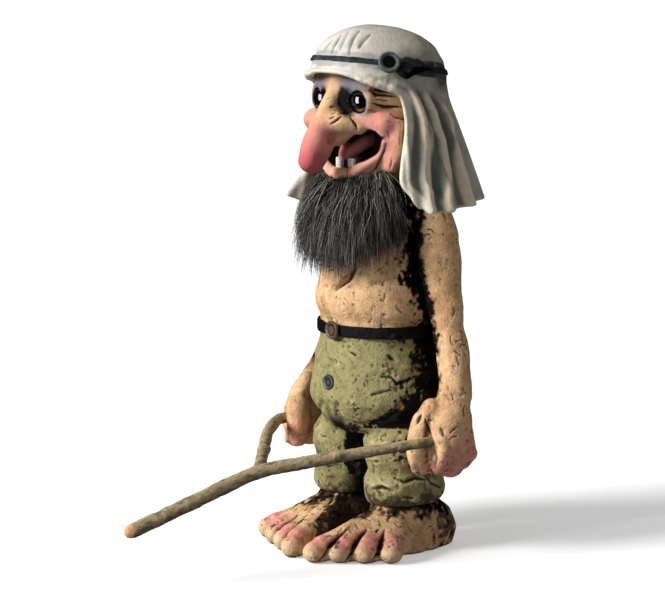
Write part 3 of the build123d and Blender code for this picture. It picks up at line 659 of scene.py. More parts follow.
def head_clay():
    """The head in clay, with the paths of the cheek's fold and of the lower and upper lip."""
    clay = Volume((-34, -50, 154), (34, 34, 232), 0.5)
    clay.add(egg((0, 0.5, 204), (27.2, 27.0, 23)), blend=0.01)
    clay.add(egg((0, -2, 188), (25.5, 21.3, 27)), blend=3)
    clay.add(egg((0, -9, 172.5), (17.8, 15.5, 13.5)), blend=4)
    clay.add(chain([(0, 0, 152), (0, -2, 172)], [11, 14]), blend=4)
    jowl = chain([(12, -17, 189), (18, -12, 186), (21, -8, 179), (19, -9, 171)], [4, 6, 6, 4])
    clay.add(*both(jowl), blend=3)
    surface = clay.surface()
    lower_lip = lip_path(surface, MOUTH_LOWER, -1.7, 0.8)
    upper_lip = lip_path(surface, MOUTH_UPPER, 1.3, 0.9)
    fold = [point + [0.0, 1.4, 0.0] - 1.2 * point * [1, 0, 0] / 25 for point in surface.seen(*CHEEK_FOLD)]
    clay.add(*both(egg((11.5, -17.2, 198.5), (9.2, 5.0, 8.6))), blend=3)
    clay.add(egg(NEAR_CHEEK, (4.6, 4.2, 4.4)), egg(FAR_CHEEK, (5.8, 5.8, 5.2)), blend=2.5)
    clay.cut(mouth_form(), blend=0.8)
    clay.add(chain(lower_lip, [1.5, 2.3, 2.6, 2.3, 1.5]), blend=1.2)
    clay.add(chain(upper_lip, [1.4, 1.7, 1.7, 1.7, 1.4]), blend=1.2)
    clay.add(*both(chain(fold, [1.5, 3.2, 3.9, 3.9, 3.8, 3.3, 2.0])), blend=1.6)
    clay.add(chain(NOSE_RIDGE, NOSE_THICK), blend=2)
    clay.add(chain([(0, -27, 185), (0, -33.2, 176.5), (0, -36.6, 172)], [4.4, 4.8, 4.6]), blend=1.5)
    clay.add(chain([(0, -18, 200), (0, -22, 192), (0, -24, 185)], [4.2, 6.2, 6]), blend=3)
    nostril_wing = chain([(2, -31, 188.5), (7.5, -27, 189), (12.4, -21.8, 187.6)], [4.6, 4.4, 3.2])
    clay.add(*both(nostril_wing), blend=2)
    clay.cut(*both(egg((4.2, -30.5, 182.4), (2.2, 2.6, 2.4))), blend=1.2)
    brow = chain([(4, -19.5, 205.5), (12, -20.5, 207), (20, -15, 205)], [2.4, 2.8, 2.0])
    eye_bag = chain([(6.5, -20.5, 192.5), (12.5, -20.5, 191), (18.5, -16, 192.5)], [1.8, 2.6, 1.8])
    clay.add(*both(brow), *both(eye_bag), blend=2)
    clay.add(*both(chain(eye_ring(-25, 165, 5.6, 1.2), [1.2, 2.2, 2.0, 0.9])), blend=1.6)
    clay.add(*both(chain(eye_ring(195, 345, 5.6, 1.0), [0.8, 1.3, 1.2])), blend=1.4)
    clay.cut(*both(egg(EYE, (EYE_RADIUS + 0.15,) * 3)), blend=0.2)
    clay.cut(boxed((-40, -30, 150), (40, 40, 206), behind_face), blend=1.0)
    under = boxed((-40, -60, 150), (40, 40, NECK_END), lambda points: points[..., 2] - NECK_END)
    clay.cut(under, blend=0.01)
    return clay, fold, (lower_lip, upper_lip)


def paint_head(head, fold, lips):
    points = head.points
    head.base(TAN, TAN_DEEP, 0.65, 8, 3, -0.2)
    head.wash_shade_and_highlight(WASH_AND_SHADE, TAN_PALE, 0.8)
    ridge = smooth_path(NOSE_RIDGE)
    away = np.stack([apart(points, place) for place in ridge])
    down_nose = away.argmin(0) / (len(ridge) - 1)
    on_nose = ramp(-away.min(0), -9.5, -7.5)
    head.coat(ROSE, 0.9 * on_nose * ramp(down_nose, 0.4, 0.75))
    head.coat(ROSE_DEEP, 0.85 * on_nose * ramp(down_nose, 0.7, 1.0))
    for path in (fold, [point * MIRROR for point in fold]):
        head.coat(ROSE, 0.85 * head.along(path, 4.6))
    for cheek in (NEAR_CHEEK, FAR_CHEEK):
        head.coat(ROSE, 0.75 * head.ball(cheek, 8.5, 4.5))
    for path, width in zip(lips, (3.4, 2.8)):
        head.coat(LIP, head.along(path, width))
    # Dark inside the open mouth: painted shade
    inside = mouth_form()[2](points)
    head.coat(MOUTH_DARK, ramp(-inside, -0.9, -0.2) * ramp(points[:, 1], -21.5, -19.5))
    # Dark paint in the creases and cracks: antiquing, with painted shade in the creases
    head.coat(WASH_AND_SHADE * 0.6, 0.9 * ramp(head.lines, 0.2, 0.6))
    # Lilac about the eyes, darker under the brim as its painted shadow, then black beside the nose, partly
    # the nose's painted shadow, and in the corners
    lids = np.maximum(0.85 * head.seen_spot(350, 89, 8, 3.2), 0.8 * head.seen_spot(362, 114, 7, 3))
    head.coat(LILAC, lids)
    head.coat(LILAC, 0.8 * head.seen_spot(366, 104, 3, 6))
    # Darker lilac under the brim on both brows: lilac paint with the brim's painted shadow
    head.coat(LILAC * 0.55, 0.9 * np.clip(1.5 * head.seen_spot(348, 80, 11, 5), 0, 1))
    head.coat(LILAC * 0.7, 0.9 * head.seen_spot(317, 84, 9, 6.5))
    ragged = 0.35 * noise(points, 2.5, 13)
    # Black beside the nose: black paint with the nose's painted shadow
    head.coat(BLACK, np.clip(2.8 * head.seen_spot(343.6, 100, 8.6, 13.5) - 0.6 + ragged, 0, 1))
    head.coat(BLACK, np.clip(2.0 * head.seen_spot(347, 110, 9, 6.5) - 0.3 + ragged, 0, 1))
    # Dark brown under the brim on the near side: the brim's painted shadow
    head.coat(WASH_AND_SHADE * 0.5, np.clip(1.3 * head.seen_spot(383, 90, 17, 3.5), 0, 1))
    for eye in (EYE, EYE * MIRROR):
        head.coat(BLACK, head.ball(eye, 6.6, 6.0))
    # Darker under the chin: painted shade below the jaw
    head.coat(WASH_AND_SHADE * 0.4, ramp(-points[:, 1], -8, 2) * ramp(-points[:, 2], -166, -162))


def make_head():
    clay, fold, lips = head_clay()
    head = Casting(clay.form(), 2)
    head.ripple(0.2 * noise(head.points, 9, 11))
    head.carve(head.seen_paths(FACE_CREASES, mirror=True), 0.75, 0.9)
    head.carve(head.seen_paths(FACE_LINES, mirror=True), 0.5, 0.5)
    skin = (head.points[:, 1] < -2) & (head.points[:, 2] < 206)
    head.carve(head.wander(50, 2.5, skin), 0.35, 0.2, 0.4)
    paint_head(head, fold, lips)
    head.finish("head_casting", face_paint, "head")


# Eyes: dark glass with a big pupil and an amber ring, painted bright on one side as a painted highlight and
# darker brown towards the right as painted shade
def make_eyes():
    gaze = np.array([0.12, -0.98, -0.05])
    gaze /= np.linalg.norm(gaze)
    glints = {"left_eye": 0.42 * RIGHT - 0.9 * ABOVE, "right_eye": 0.7 * RIGHT + 0.7 * ABOVE}
    for (name, bright), side in zip(glints.items(), (1, -1)):
        ball = Volume((-6.5,) * 3, (6.5,) * 3, 0.25)
        ball.add(egg((0, 0, 0), (EYE_RADIUS - 0.05,) * 3), blend=0.01)
        eye = Casting(ball.form(), 1)
        angle = np.degrees(np.arccos(np.clip(eye.points @ gaze / EYE_RADIUS, -1, 1)))
        lit = ramp(eye.points @ bright / EYE_RADIUS, 0.5, 0.8)
        ring = ramp(angle, 34, 40) * ramp(-angle, -64, -56)
        eye.paint[:] = linear(12, 10, 14)
        # Painted shade: the ring darker brown towards the right; painted highlight: the amber bright only on
        # one side
        eye.coat(linear(70, 26, 14), 0.6 * ring * ramp(eye.points @ RIGHT / EYE_RADIUS, 0.1, 0.6))
        eye.coat(linear(255, 212, 50), ring * lit)
        eye.points = eye.points + EYE * [side, 1, 1]
        eye.finish(name + "_glass", eye_glass, name)


def make_mouth():
    clay = Volume((-16, -28, 166), (16, 4, 192), 0.4)
    half = [(1.4, -18.4, 174.4), (3.4, -14.5, 177.6), (5.2, -10.5, 180.4), (5.4, -6, 182)]
    clay.add(*both(chain(half, [2.4, 3.0, 3.1, 3.0])), blend=1.5)
    tongue = Casting(clay.form(), 3)
    tongue.carve([np.array([(0, -21, 175.5), (0, -14, 180.5), (0, -7, 184.5)])], 0.9, 0.7, 0.3)
    tongue.base(linear(204, 124, 122), linear(150, 72, 78), 0.7, 4, 5, 0, 1)
    tongue.finish("tongue_casting", wet_paint, "tongue")
    for name in ("left_tooth", "right_tooth"):
        tooth = Casting(node_volume(name, 0.25, soften=3).form(), 2)
        tooth.paint[:] = linear(248, 244, 236)
        # Darker and yellower at the bottom of each tooth: painted shade near the jaw
        tooth.coat(linear(206, 190, 160), 0.6 * ramp(-tooth.points[:, 2], -170.5, -168.5))
        tooth.points = tooth.points + TOOTH_SHIFT
        tooth.finish(name + "_enamel", tooth_enamel, name)


# Headscarf: a moulded shell with soft folds and a pale rolled rim
def crown_form():
    """The cap's wall: a rounded dome about its leaning axis."""
    def distance(points):
        away = points - CROWN_BASE
        rise = away @ CROWN_AXIS
        across = np.linalg.norm(away - rise[..., None] * CROWN_AXIS, axis=-1) / CROWN_RADIUS
        size = across ** CROWN_BOXINESS + (np.maximum(rise, 0) / CROWN_HEIGHT) ** CROWN_BOXINESS
        outside = CROWN_HEIGHT * (size ** (1 / CROWN_BOXINESS) - 1)
        return np.maximum.reduce([outside, -outside - 1.8, 7.0 - rise])

    return boxed(CROWN_BASE - [34, 34, 0], CROWN_BASE + [34, 38, 30], distance)


RIM_CORNER = ((40.0, -5.2, 151.9), (38.2, -7.0, 154.2), (35.0, -10.4, 158.8))
RIM_SIDE = ((32.0, -13.6, 164.0), (30.4, -11.8, 173.0), (29.2, -9.4, 181.0), (29.0, -8.6, 187.0),
            (28.7, -8.6, 192.0), (27.9, -9.8, 199.0), (26.2, -12.2, 202.6))
FAR_RIM_END = np.array([-33.6, -15.5, 153.0])
FAR_FLAP_FRONT = np.array([-33.6, -15.5, 152.5])
FAR_FLAP_CORNER = np.array([-36.5, -20.8, 154.5])
SCARF_RIDGES = (
    ((402, 76), (415, 99), (422, 118), (427, 146), (429, 206)),
    ((418, 79), (433, 111), (442, 139), (447, 174), (448, 202)),
    ((436, 92), (450, 121), (460, 153), (466, 190)),
)
SCARF_GROOVES = (
    ((401, 79), (412, 110), (416, 127), (415, 153), (416, 181), (420, 199)),
    ((409, 79), (426, 107), (436, 129), (439, 160), (437, 201)),
    ((428, 84), (441, 111), (451, 139), (457, 167), (459, 194)),
)
SCARF_RADIUS = 36.0
CROWN_DENTS = (
    ((333, 39), (327, 45), (322, 53)), ((342, 34), (336, 42), (331, 54)), ((349, 31), (343, 41), (340, 50)),
    ((360, 30), (352, 40), (349, 54)), ((371, 34), (363, 41), (359, 48)),
)


def scarf_frame(points):
    """How far each point falls below the brow, the way out from the scarf's axis, and the turn about it."""
    fall = (points - SKIRT_BASE) @ SKIRT_DOWN
    out = unit(points - SKIRT_BASE - fall[:, None] * SKIRT_DOWN)
    return fall, out, np.arctan2(out[:, 0], -out[:, 1])


def hem_path(surface):
    """The scarf's lower edge, from flap to flap round the back."""
    level = SKIRT_BASE + (SKIRT_LENGTH - 1.5) * SKIRT_DOWN
    path = []
    for turn in np.radians(np.arange(104, 257, 6)):
        out = np.array([math.sin(turn), -math.cos(turn), 0.0])
        out = out - (out @ SKIRT_DOWN) * SKIRT_DOWN
        hit = surface.tree.ray_cast(Vector(level + 80 * out), Vector(-out))[0]
        if hit is not None:
            path.append(np.array(hit) - 0.9 * out + 0.5 * SKIRT_DOWN)
    return path


def scarf_clay(surface):
    """The scarf in clay, with filled edges, and the path of its rolled rim."""
    clay = node_volume("headscarf", 0.5, soften=1)
    clay.add(crown_form(), blend=0.5)
    turns = np.linspace(0.35, 2.79, 11)
    arch = surface.front(*[(24.5 * math.cos(turn), 203.2 + 6.2 * math.sin(turn)) for turn in turns])
    near_side = np.array(RIM_CORNER + RIM_SIDE)
    rim = [*near_side, *arch, *(np.array(RIM_SIDE) * MIRROR)[::-1], FAR_RIM_END]
    clay.add(chain(rim, [1.3]), blend=0.8)
    middle = SKIRT_BASE[1] + math.tan(SKIRT_TRAIL) * (SKIRT_BASE[2] - near_side[:, 2])
    across, back = near_side[:, 0], near_side[:, 1] - middle
    for turn in np.radians((3, 6, 9, 12, 15)):
        behind = np.stack([across * math.cos(turn) - back * math.sin(turn),
                           back * math.cos(turn) + across * math.sin(turn) + middle, near_side[:, 2]], 1)
        clay.add(*both(chain(behind, [1.1])), blend=0.8)
    clay.add(chain(hem_path(surface), [0.9]), blend=0.5)
    for share in np.linspace(0, 1, 6):
        corner = (1 - share) * FAR_FLAP_CORNER + share * FAR_FLAP_FRONT
        clay.add(chain([(-30.6, -12.4, 172), (-31.6, -13.6, 166), corner], [1.1]), blend=1.0)
    return clay, rim


def lift_brim(points):
    """Raises the brim over the brow and at the far temple."""
    across, back, up = points.T
    brow = 2.0 * ramp(-np.abs(across - 2), -20, -6) * ramp(-up, -217, -207) * ramp(-back, 12, 18)
    temple = 1.8 * ramp(-across, 12, 19) * ramp(-back, 6, 14) * ramp(-up, -215, -208)
    points[:, 2] += (brow + temple) * ramp(up, 196, 204)


def make_scarf():
    surface = Surface(node_form("headscarf"))
    clay, rim = scarf_clay(surface)
    scarf = Casting(clay.form(), 3)
    lift_brim(scarf.points)
    points = scarf.points
    fall, out, turn = scarf_frame(points)

    def folds(rows, width):
        """How close each point is to folds that run down the scarf, on both sides of the head."""
        close = np.zeros(len(points))
        for row in rows:
            row_fall, _, row_turn = scarf_frame(np.array(surface.seen(*row)))
            away = SCARF_RADIUS * (np.abs(turn) - np.interp(fall, row_fall, row_turn))
            fade = ramp(fall, row_fall[0] - 1, row_fall[0] + 12)
            close = np.maximum(close, np.exp(-(away / width) ** 2) * fade)
        return close

    ridges, grooves = folds(SCARF_RIDGES, 3.0), folds(SCARF_GROOVES, 2.8)
    pleats = np.stack([34 * np.sin(turn), 34 * np.cos(turn), 0.1 * fall], 1)
    waves = noise(pleats, 9, 25, 2) + 0.5 * np.sin(11 * turn + 0.7)
    low = ramp(fall, 0, 34)
    at_side = ramp(-np.abs(np.abs(turn) - 1.6), -0.9, -0.6)
    relief = 1.5 * ridges - 1.7 * grooves + (0.9 - 0.5 * at_side) * low * waves
    scarf.points = points + out * relief[:, None]
    strap = Surface(node_form("headband")).tree
    off_band = ramp(np.array([strap.find_nearest(Vector(point))[3] for point in points]), 0.5, 4.0)
    crown = ramp(-fall, -2, 8)
    brim = ramp(-points[:, 1], 6, 18) * ramp(-np.abs(fall + 5), -6, -2)
    lumps = crown * 0.6 * noise(points, 12, 21) + brim * 1.0 * noise(points, 7, 27)
    scarf.points = scarf.points + out * (off_band * lumps - 0.25 * (1 - off_band))[:, None]
    scarf.settle()
    near_edge = np.full(len(points), 99.0)
    for place in smooth_path(rim):
        near_edge = np.minimum(near_edge, np.linalg.norm((scarf.points - place) * [1, 0.7, 1], axis=1))
    scarf.carve(scarf.seen_paths(CROWN_DENTS), 1.5, 0.9, 0.7)
    # Paint: grey cloth with painted shade in the folds, dents and broad hollows, inside the cap and under and
    # behind the band, painted highlights on the ridges, lumps and bulges and on the lit side, pale on the rim
    # and hem, and a dark grey patch at the back of the band
    points = scarf.points
    scarf.base(CLOTH, CLOTH_DEEP, 0.4, 14, 23, -0.2)
    # Painted shade in the troughs of the waves and painted highlight on their crests
    scarf.coat(CLOTH_DEEP, 0.6 * low * ramp(-waves, 0.0, 0.9))
    scarf.coat(CLOTH_PALE, 0.6 * low * ramp(waves, 0.2, 1.0))
    # Painted shade in the fold grooves and painted highlight on the fold ridges
    scarf.coat(CLOTH_DEEP, 0.9 * ramp(grooves, 0.15, 0.8))
    scarf.coat(RIDGE_PALE, 0.9 * ramp(ridges, 0.35, 0.9))
    # Painted light: paler towards the lit side of the crown
    scarf.coat(linear(234, 230, 224), 0.6 * ramp(-points @ RIGHT, -8, 22) * crown)
    # Painted shade in the dents
    scarf.coat(CLOTH_DEEP * 0.8, 0.8 * ramp(scarf.lines, 0.15, 0.7))
    # Painted highlights on the lumps of the brim
    scarf.coat(linear(240, 236, 228), 0.5 * brim * off_band * ramp(noise(points, 5, 26), 0.0, 0.6))
    # Painted shade in the broad hollows and painted highlight on the bulges
    broad = scarf.hollow(30)
    scarf.coat(CLOTH_DEEP, 0.8 * ramp(broad, 0.08, 0.8))
    scarf.coat(CLOTH_PALE, 0.7 * ramp(-broad, 0.2, 0.9))
    fall, out, _ = scarf_frame(points)
    # Painted shade where the cloth faces inward, at the brow and above
    scarf.coat(CLOTH_DEEP * 0.5, 0.85 * ramp(-dots(scarf.normals, out), 0.2, 0.8) * ramp(fall, -4, 2))
    scarf.coat(CLOTH_PALE, 0.95 * ramp(-near_edge, -2.8, -1.6))
    scarf.coat(CLOTH_PALE, 0.7 * ramp(fall, SKIRT_LENGTH - 1.6, SKIRT_LENGTH - 0.6))
    # Painted shade under the band, deeper towards the back
    behind = ramp(points[:, 0] + points[:, 1], 0, 22)
    ragged = 0.3 * noise(points, 4, 24)
    scarf.coat(TEAL_BLACK * 0.6, ramp(-off_band + ragged, -0.4, 0.0) * (0.35 + 0.6 * behind))
    scarf.coat(linear(92, 88, 82), 0.9 * np.clip(1.6 * scarf.seen_spot(442, 77, 6, 12), 0, 1))
    scarf.finish("headscarf_shell", scarf_paint, "headscarf")


CORD_ROW = ((398, 71), (403, 74), (407, 76), (414, 73), (424, 71), (434, 69))


def make_band():
    clay = node_volume("headband", 0.35, soften=2)
    cord = [point + [0.3, 0, 0] for point in Surface(node_form("headscarf")).seen(*CORD_ROW)]
    clay.add(chain(cord, [1.0, 1.3, 1.2, 0.9, 0.8, 0.6]), blend=0.3)
    band = Casting(clay.form(), 2)
    band.carve([cord], 2.0, 0.0)
    height = (band.points - CROWN_BASE) @ CROWN_AXIS - BAND_RISE
    band.points = band.points - (0.3 * height * ramp(-np.abs(height), -3.0, -2.0))[:, None] * CROWN_AXIS
    band.ripple(0.16 * noise(band.points, 3, 31) + 0.15 * noise(band.points, 9, 32))
    away = band.points - CROWN_BASE
    away = away - (away @ CROWN_AXIS)[:, None] * CROWN_AXIS
    band.points = band.points - 0.45 * unit(away)
    band.settle()
    band.base(TEAL_BLACK, linear(92, 104, 102), 0.4, 5, 33, 0.1, 1)
    band.coat(BLACK, 0.7 * ramp(noise(band.points, 6, 34), 0.1, 0.8))
    # Black along the cord and beside it, partly the cord's painted shadow
    band.coat(BLACK, ramp(band.lines, 0.2, 0.5))
    band.finish("headband_strap", band_paint, "headband")
    rosette = Casting(node_volume("headband_rosette", 0.3, soften=2).form(), 2)
    rosette.paint[:] = linear(84, 100, 98)
    # Black in the hollows and the middle hole: painted shade
    rosette.coat(BLACK, 0.95 * ramp(rosette.hollow(12), 0.05, 0.25))
    rosette.coat(BLACK, rosette.ball(rosette.points.mean(0), 3.3, 2.8))
    rosette.finish("rosette_stud", band_paint, "headband_rosette")


# Body castings: where rows are given, they are lines over the photograph
CHEST_CREASES = (((354, 256), (353, 268), (347, 280), (336, 290)), ((372, 284), (386, 281), (400, 274)))
TORSO_DARK_EDGE = ((416, 200), (414, 243), (407, 260), (405, 272), (404, 283), (414, 299), (423, 314),
                   (420, 325), (416, 345))
TROUSER_FOLDS = (
    ((350, 422), (362, 426), (378, 423), (393, 413), (405, 401)),
    ((336, 404), (339, 416), (348, 424)),
    ((322, 402), (315, 424)),
)
TROUSER_CREASES = (
    ((381, 377), (391, 377), (397, 384), (409, 380), (416, 376)),
    ((387, 355), (395, 361)),
    ((350, 352), (357, 356)),
    ((360, 458), (375, 462), (392, 458)),
    ((318, 462), (328, 466), (340, 464)),
    ((372, 395), (392, 390)),
    ((394, 478), (405, 482), (416, 478), (426, 480)),
    ((371, 489), (381, 487), (390, 490)),
    ((424, 474), (431, 483), (441, 488)),
    ((402, 497), (414, 499)),
)
TROUSER_DARK_EDGE = ((414, 335), (415, 348), (418, 364), (413, 379), (404, 396), (394, 410), (374, 419),
                     (362, 428), (405, 429), (404, 464), (432, 472), (452, 480))


def make_torso():
    clay = node_volume("torso", 0.6, soften=4)
    clay.add(*both(egg((10, -13.5, 128), (9.5, 7, 12))), blend=3)
    clay.add(egg((0, -6, 112), (25, 19.5, 11)), blend=4)
    clay.add(*both(chain([(5, 4, 156), (15, 6, 153), (24, 7, 147)], [9, 9.5, 9])), blend=3)
    surface = clay.surface()
    breast = surface.seen((337, 273))[0]
    clay.add(*both(egg(breast + [0.8, 3.0, 0], (7.5, 6.0, 10.5))), blend=2.5)
    creases = [surface.seen(*row) for row in CHEST_CREASES]
    for path, width in zip(creases, (2.0, 0.9)):
        clay.cut(chain(path, [0.6, width, 0.6]), blend=1.6)
    torso = Casting(clay.form(), 2)
    torso.carve([[torso.snap(point) for point in creases[0]]], 1.2, 0.5, 0.9)
    torso.weather(41, (torso.points[:, 1] < 4) | (torso.points[:, 2] < 150), 80)
    points = torso.points
    torso.base(TAN, TAN_DEEP, 0.65, 8, 43)
    torso.wash_shade_and_highlight(WASH_AND_SHADE, TAN_PALE)
    # Black on the sides beside the arms: black paint with painted shade between the torso and the arms
    ragged = 7 * noise(points, 6, 45) + 13 * noise(points, 1.8, 46)
    side = side_angle(points) + 1.2 * ragged
    bare = np.interp(points[:, 2], (108, 113, 118, 126, 150), (98, 98, 90, 77, 78))
    beside = ramp(side - bare, -4, 4) * ramp(-side, -130, -114)
    torso.blacken(np.maximum(torso.seen_right(TORSO_DARK_EDGE, ragged), beside), TAN_BLACK)
    torso.finish("torso_casting", skin_paint, "torso")


def make_trousers():
    clay = node_volume("trousers", 0.6, soften=4)
    clay.add(egg((0, -3, 70), (29, 25, 16)), blend=5)
    surface = clay.surface()
    for row in TROUSER_FOLDS:
        clay.cut(chain(surface.seen(*row), [0.6, 1.2, 1.0]), blend=2.0)
    legs = Casting(clay.form(), 2)
    legs.ripple(0.5 * noise(legs.points, 12, 51) + 0.3 * noise(legs.points, 5, 52))
    legs.carve(legs.seen_paths(TROUSER_CREASES), 0.8, 1.0)
    legs.weather(53, legs.points[:, 2] > 22, 130, 0.5)
    points = legs.points
    legs.base(OLIVE, OLIVE_DEEP, 0.75, 7, 53)
    legs.wash_shade_and_highlight(WASH_AND_SHADE, OLIVE_PALE)
    ragged = 9 * noise(points, 5, 55) + 17 * noise(points, 1.8, 57)
    # Black between the legs, beside the arms and at the sides: black paint with painted shade between the
    # parts
    between_legs = legs.mirrored_most(
        lambda x, y: ramp(-((x - 352) / 9) ** 2 - ((y - 450) / 27) ** 2 + 0.03 * ragged, -1.1, -0.7))
    side = side_angle(points) + ragged
    beside = ramp(side, 74, 84) * ramp(-side, -128, -112) * ramp(points[:, 2], 40, 60)
    inner = ramp(-np.abs(points[:, 0]), -7, -3) * ramp(-points[:, 2], -64, -56)
    dark = [legs.seen_right(TROUSER_DARK_EDGE, ragged), between_legs, beside, inner]
    # Darker at the bottom of the legs, about the cuffs
    legs.coat(WASH_AND_SHADE, 0.75 * ramp(-points[:, 2] + 0.35 * ragged, -27, -22))
    legs.blacken(np.maximum.reduce(dark), OLIVE_BLACK)
    legs.finish("trousers_casting", trouser_paint, "trousers")


def arm_place(side, place):
    """A place on the left arm, or its like on the right arm, which hangs a little further forward."""
    if side > 0:
        return np.array(place, float)
    across, back, up = np.array(place, float) - ARM_PIVOT
    swing = (back * math.cos(RIGHT_ARM_SWING) + up * math.sin(RIGHT_ARM_SWING),
             up * math.cos(RIGHT_ARM_SWING) - back * math.sin(RIGHT_ARM_SWING))
    return np.array([-across, swing[0], swing[1]]) + ARM_PIVOT


# Each form of the left arm: its places, its radii and its blend; the fingers are four alike
FINGERS = [([(49.5, back, 55), (50.2, back, 48), (47.5, back, 42), (43, back, 41)], [2.4, 3.1, 3.1, 3.0], 0.9)
           for back in (-6, -1, 4, 9)]
ARM_FORMS = [
    ([(29.5, 9.5, 147), (32.5, 10.5, 138), (34.5, 10.5, 122), (36.5, 10, 106)], [8.6, 8.9, 8.7, 7.4], 3),
    ([(35.5, 9.5, 110), (38.5, 9.6, 97), (41.5, 8.2, 86), (44, 6, 74), (45.5, 4, 64)],
     [6.6, 6.4, 6.1, 6.3, 7.6], 4),
    ([(45.5, 0, 58), (47, 0, 50), (45.5, 1, 43)], [7.0, 6.6, 6.0], 3),
    *FINGERS,
    ([(41.5, -5, 67), (39.5, -9, 58), (39, -10.2, 48), (40.5, -10, 41.5)], [4.4, 5.0, 5.0, 4.2], 1.2),
    ([(40.6, -14.4, 43), (41.0, -14.0, 40.5)], [1.6, 1.5], 0.3),
]
THUMB_NAIL = (40.8, -15, 41.6)
FIST_SLIT = ((45.2, -8.5, 66), (45.0, -10.6, 58), (45.2, -10.8, 50), (45.8, -10.2, 42))
FIST_LINES = (
    ((425, 419), (430, 432), (433, 440)), ((435, 450), (436, 459), (435, 467)), ((440, 428), (444, 436)),
    ((421, 414), (417, 424)),
)
# How far each arm is drawn in towards the body, at these heights
ARM_PULL_ROWS = (62, 70, 80, 90, 100, 115, 135, 150)
ARM_PULL = {"left_arm": (0, 0, 0, 0.4, 1.2, 2.0, 2.2, 2.0),
            "right_arm": (0, 2.2, 4.6, 5.6, 6.0, 5.4, 3.2, 2.0)}
# The edge of the black on the arm's inner side, in pixels across at these pixels down; the black is black
# paint with painted shade between arm and body
ARM_EDGE = (423, 422, 424, 426, 434, 437, 439)
ARM_EDGE_ROWS = (205, 243, 265, 283, 302, 330, 364)


def make_arm(name, side, fist_lines=None):
    def limb(places, radii):
        return chain([arm_place(side, place) for place in places], radii)

    clay = node_volume(name, 0.55, soften=4)
    for places, radii, blend in ARM_FORMS:
        clay.add(limb(places, radii), blend=blend)
    clay.cut(limb(FIST_SLIT, [0.4, 1.0, 1.1, 0.8]), blend=0.8)
    arm = Casting(clay.form(), 2)
    rise = arm.points[:, 2]
    arm.points[:, 0] -= side * np.interp(rise, ARM_PULL_ROWS, ARM_PULL[name])
    arm.points[:, 1] -= 1.6 * ramp(arm.points[:, 1], 7, 16) * ramp(rise, 84, 104)
    arm.settle()
    arm.carve([[arm_place(side, place) for place in FIST_SLIT]], 1.7, 0.2, 1.4)
    flip = np.array([side, 1.0, 1.0])
    if fist_lines is None:
        fist_lines = arm.seen_paths(FIST_LINES)
    arm.carve([[arm.snap(point * flip) for point in path] for path in fist_lines], 0.9, 0.8)
    arm.weather(61 + side, arm.points[:, 2] > 20, 60, 0.35)
    points = arm.points
    arm.base(TAN, TAN_DEEP, 0.65, 9, 63)
    knuckles = 0.5 * ramp(-points[:, 2], -64, -54) * ramp(side * points[:, 0], 48, 54)
    low = np.clip(ramp(-points[:, 2], -58, -42) + knuckles, 0, 1)
    arm.coat(ROSE, 0.75 * low * ramp(noise(points, 8, 65), -0.7, 0.4))
    arm.wash_shade_and_highlight(WASH_AND_SHADE, TAN_PALE)
    arm.coat(NAIL, arm.ball(arm_place(side, THUMB_NAIL), 2.3, 1.6))
    ragged = 3 * noise(points, 5, 67) + 3 * noise(points, 1.8, 68)
    # Black on the inner side, towards the body: black paint with painted shade between arm and body
    facing = dots(arm.normals * flip, EYE_POINT - points * flip) > 0
    across, down = photo_pixels(points * flip)
    seen = facing * ramp(np.interp(down, ARM_EDGE_ROWS, ARM_EDGE) - across + ragged, -2, 2)
    hidden = ramp(-arm.normals[:, 0] * side + 0.03 * ragged, 0.7, 0.86)
    arm.blacken(np.maximum(seen, hidden) * ramp(points[:, 2], 68, 80), TAN_BLACK)
    arm.finish(name + "_casting", skin_paint, name)
    return fist_lines


# Where the big and the little toe of each foot end
TOE_ENDS = {"left_foot": ((14, -46), (35, -22)), "right_foot": ((-1, -47), (-33, -33))}
TOE_HEIGHT = 4.6
# The web between two toes: how far along from the ankle, and how far down
TOE_WEB = ((0.3, 0), (0.55, 2.6), (0.8, 6), (0.96, 8.4))
# The slot above it: how far along from the ankle, and how high above the ground
TOE_SLOT = ((0.76, 11.0), (0.88, 8.6), (1.0, 6.0), (1.1, 4.0), (1.16, 1.5))
LEVEL = np.array([1.0, 1.0, 0.0])


def foot_clay(name, ankle, tips, ways):
    """A foot in clay, with the paths of the slots between its toes."""
    clay = node_volume(name, 0.55, soften=3)
    for tip, way in zip(tips, ways):
        instep = ankle + 0.35 * (tip - ankle) + [0, 0, 1]
        knuckle = ankle + 0.68 * (tip - ankle) + [0, 0, 1.6]
        clay.add(chain([instep, knuckle, tip - 2 * way, tip + 2.2 * way], [7.0, 5.4, 5.3, 4.9]), blend=0.7)
    slots = []
    for first, second in zip(tips, tips[1:]):
        along = ((first + second) / 2 - ankle) * LEVEL
        web = [ankle + share * along - [0, 0, drop] for share, drop in TOE_WEB]
        clay.add(chain(web, [7.4, 6.4, 5.0, 4.0]), blend=2.0)
        slots.append([ankle * LEVEL + share * along + [0, 0, up] for share, up in TOE_SLOT])
    clay.cut(boxed((-60, -60, -9), (60, 40, 0), lambda points: points[..., 2]), blend=0.01)
    return clay, slots


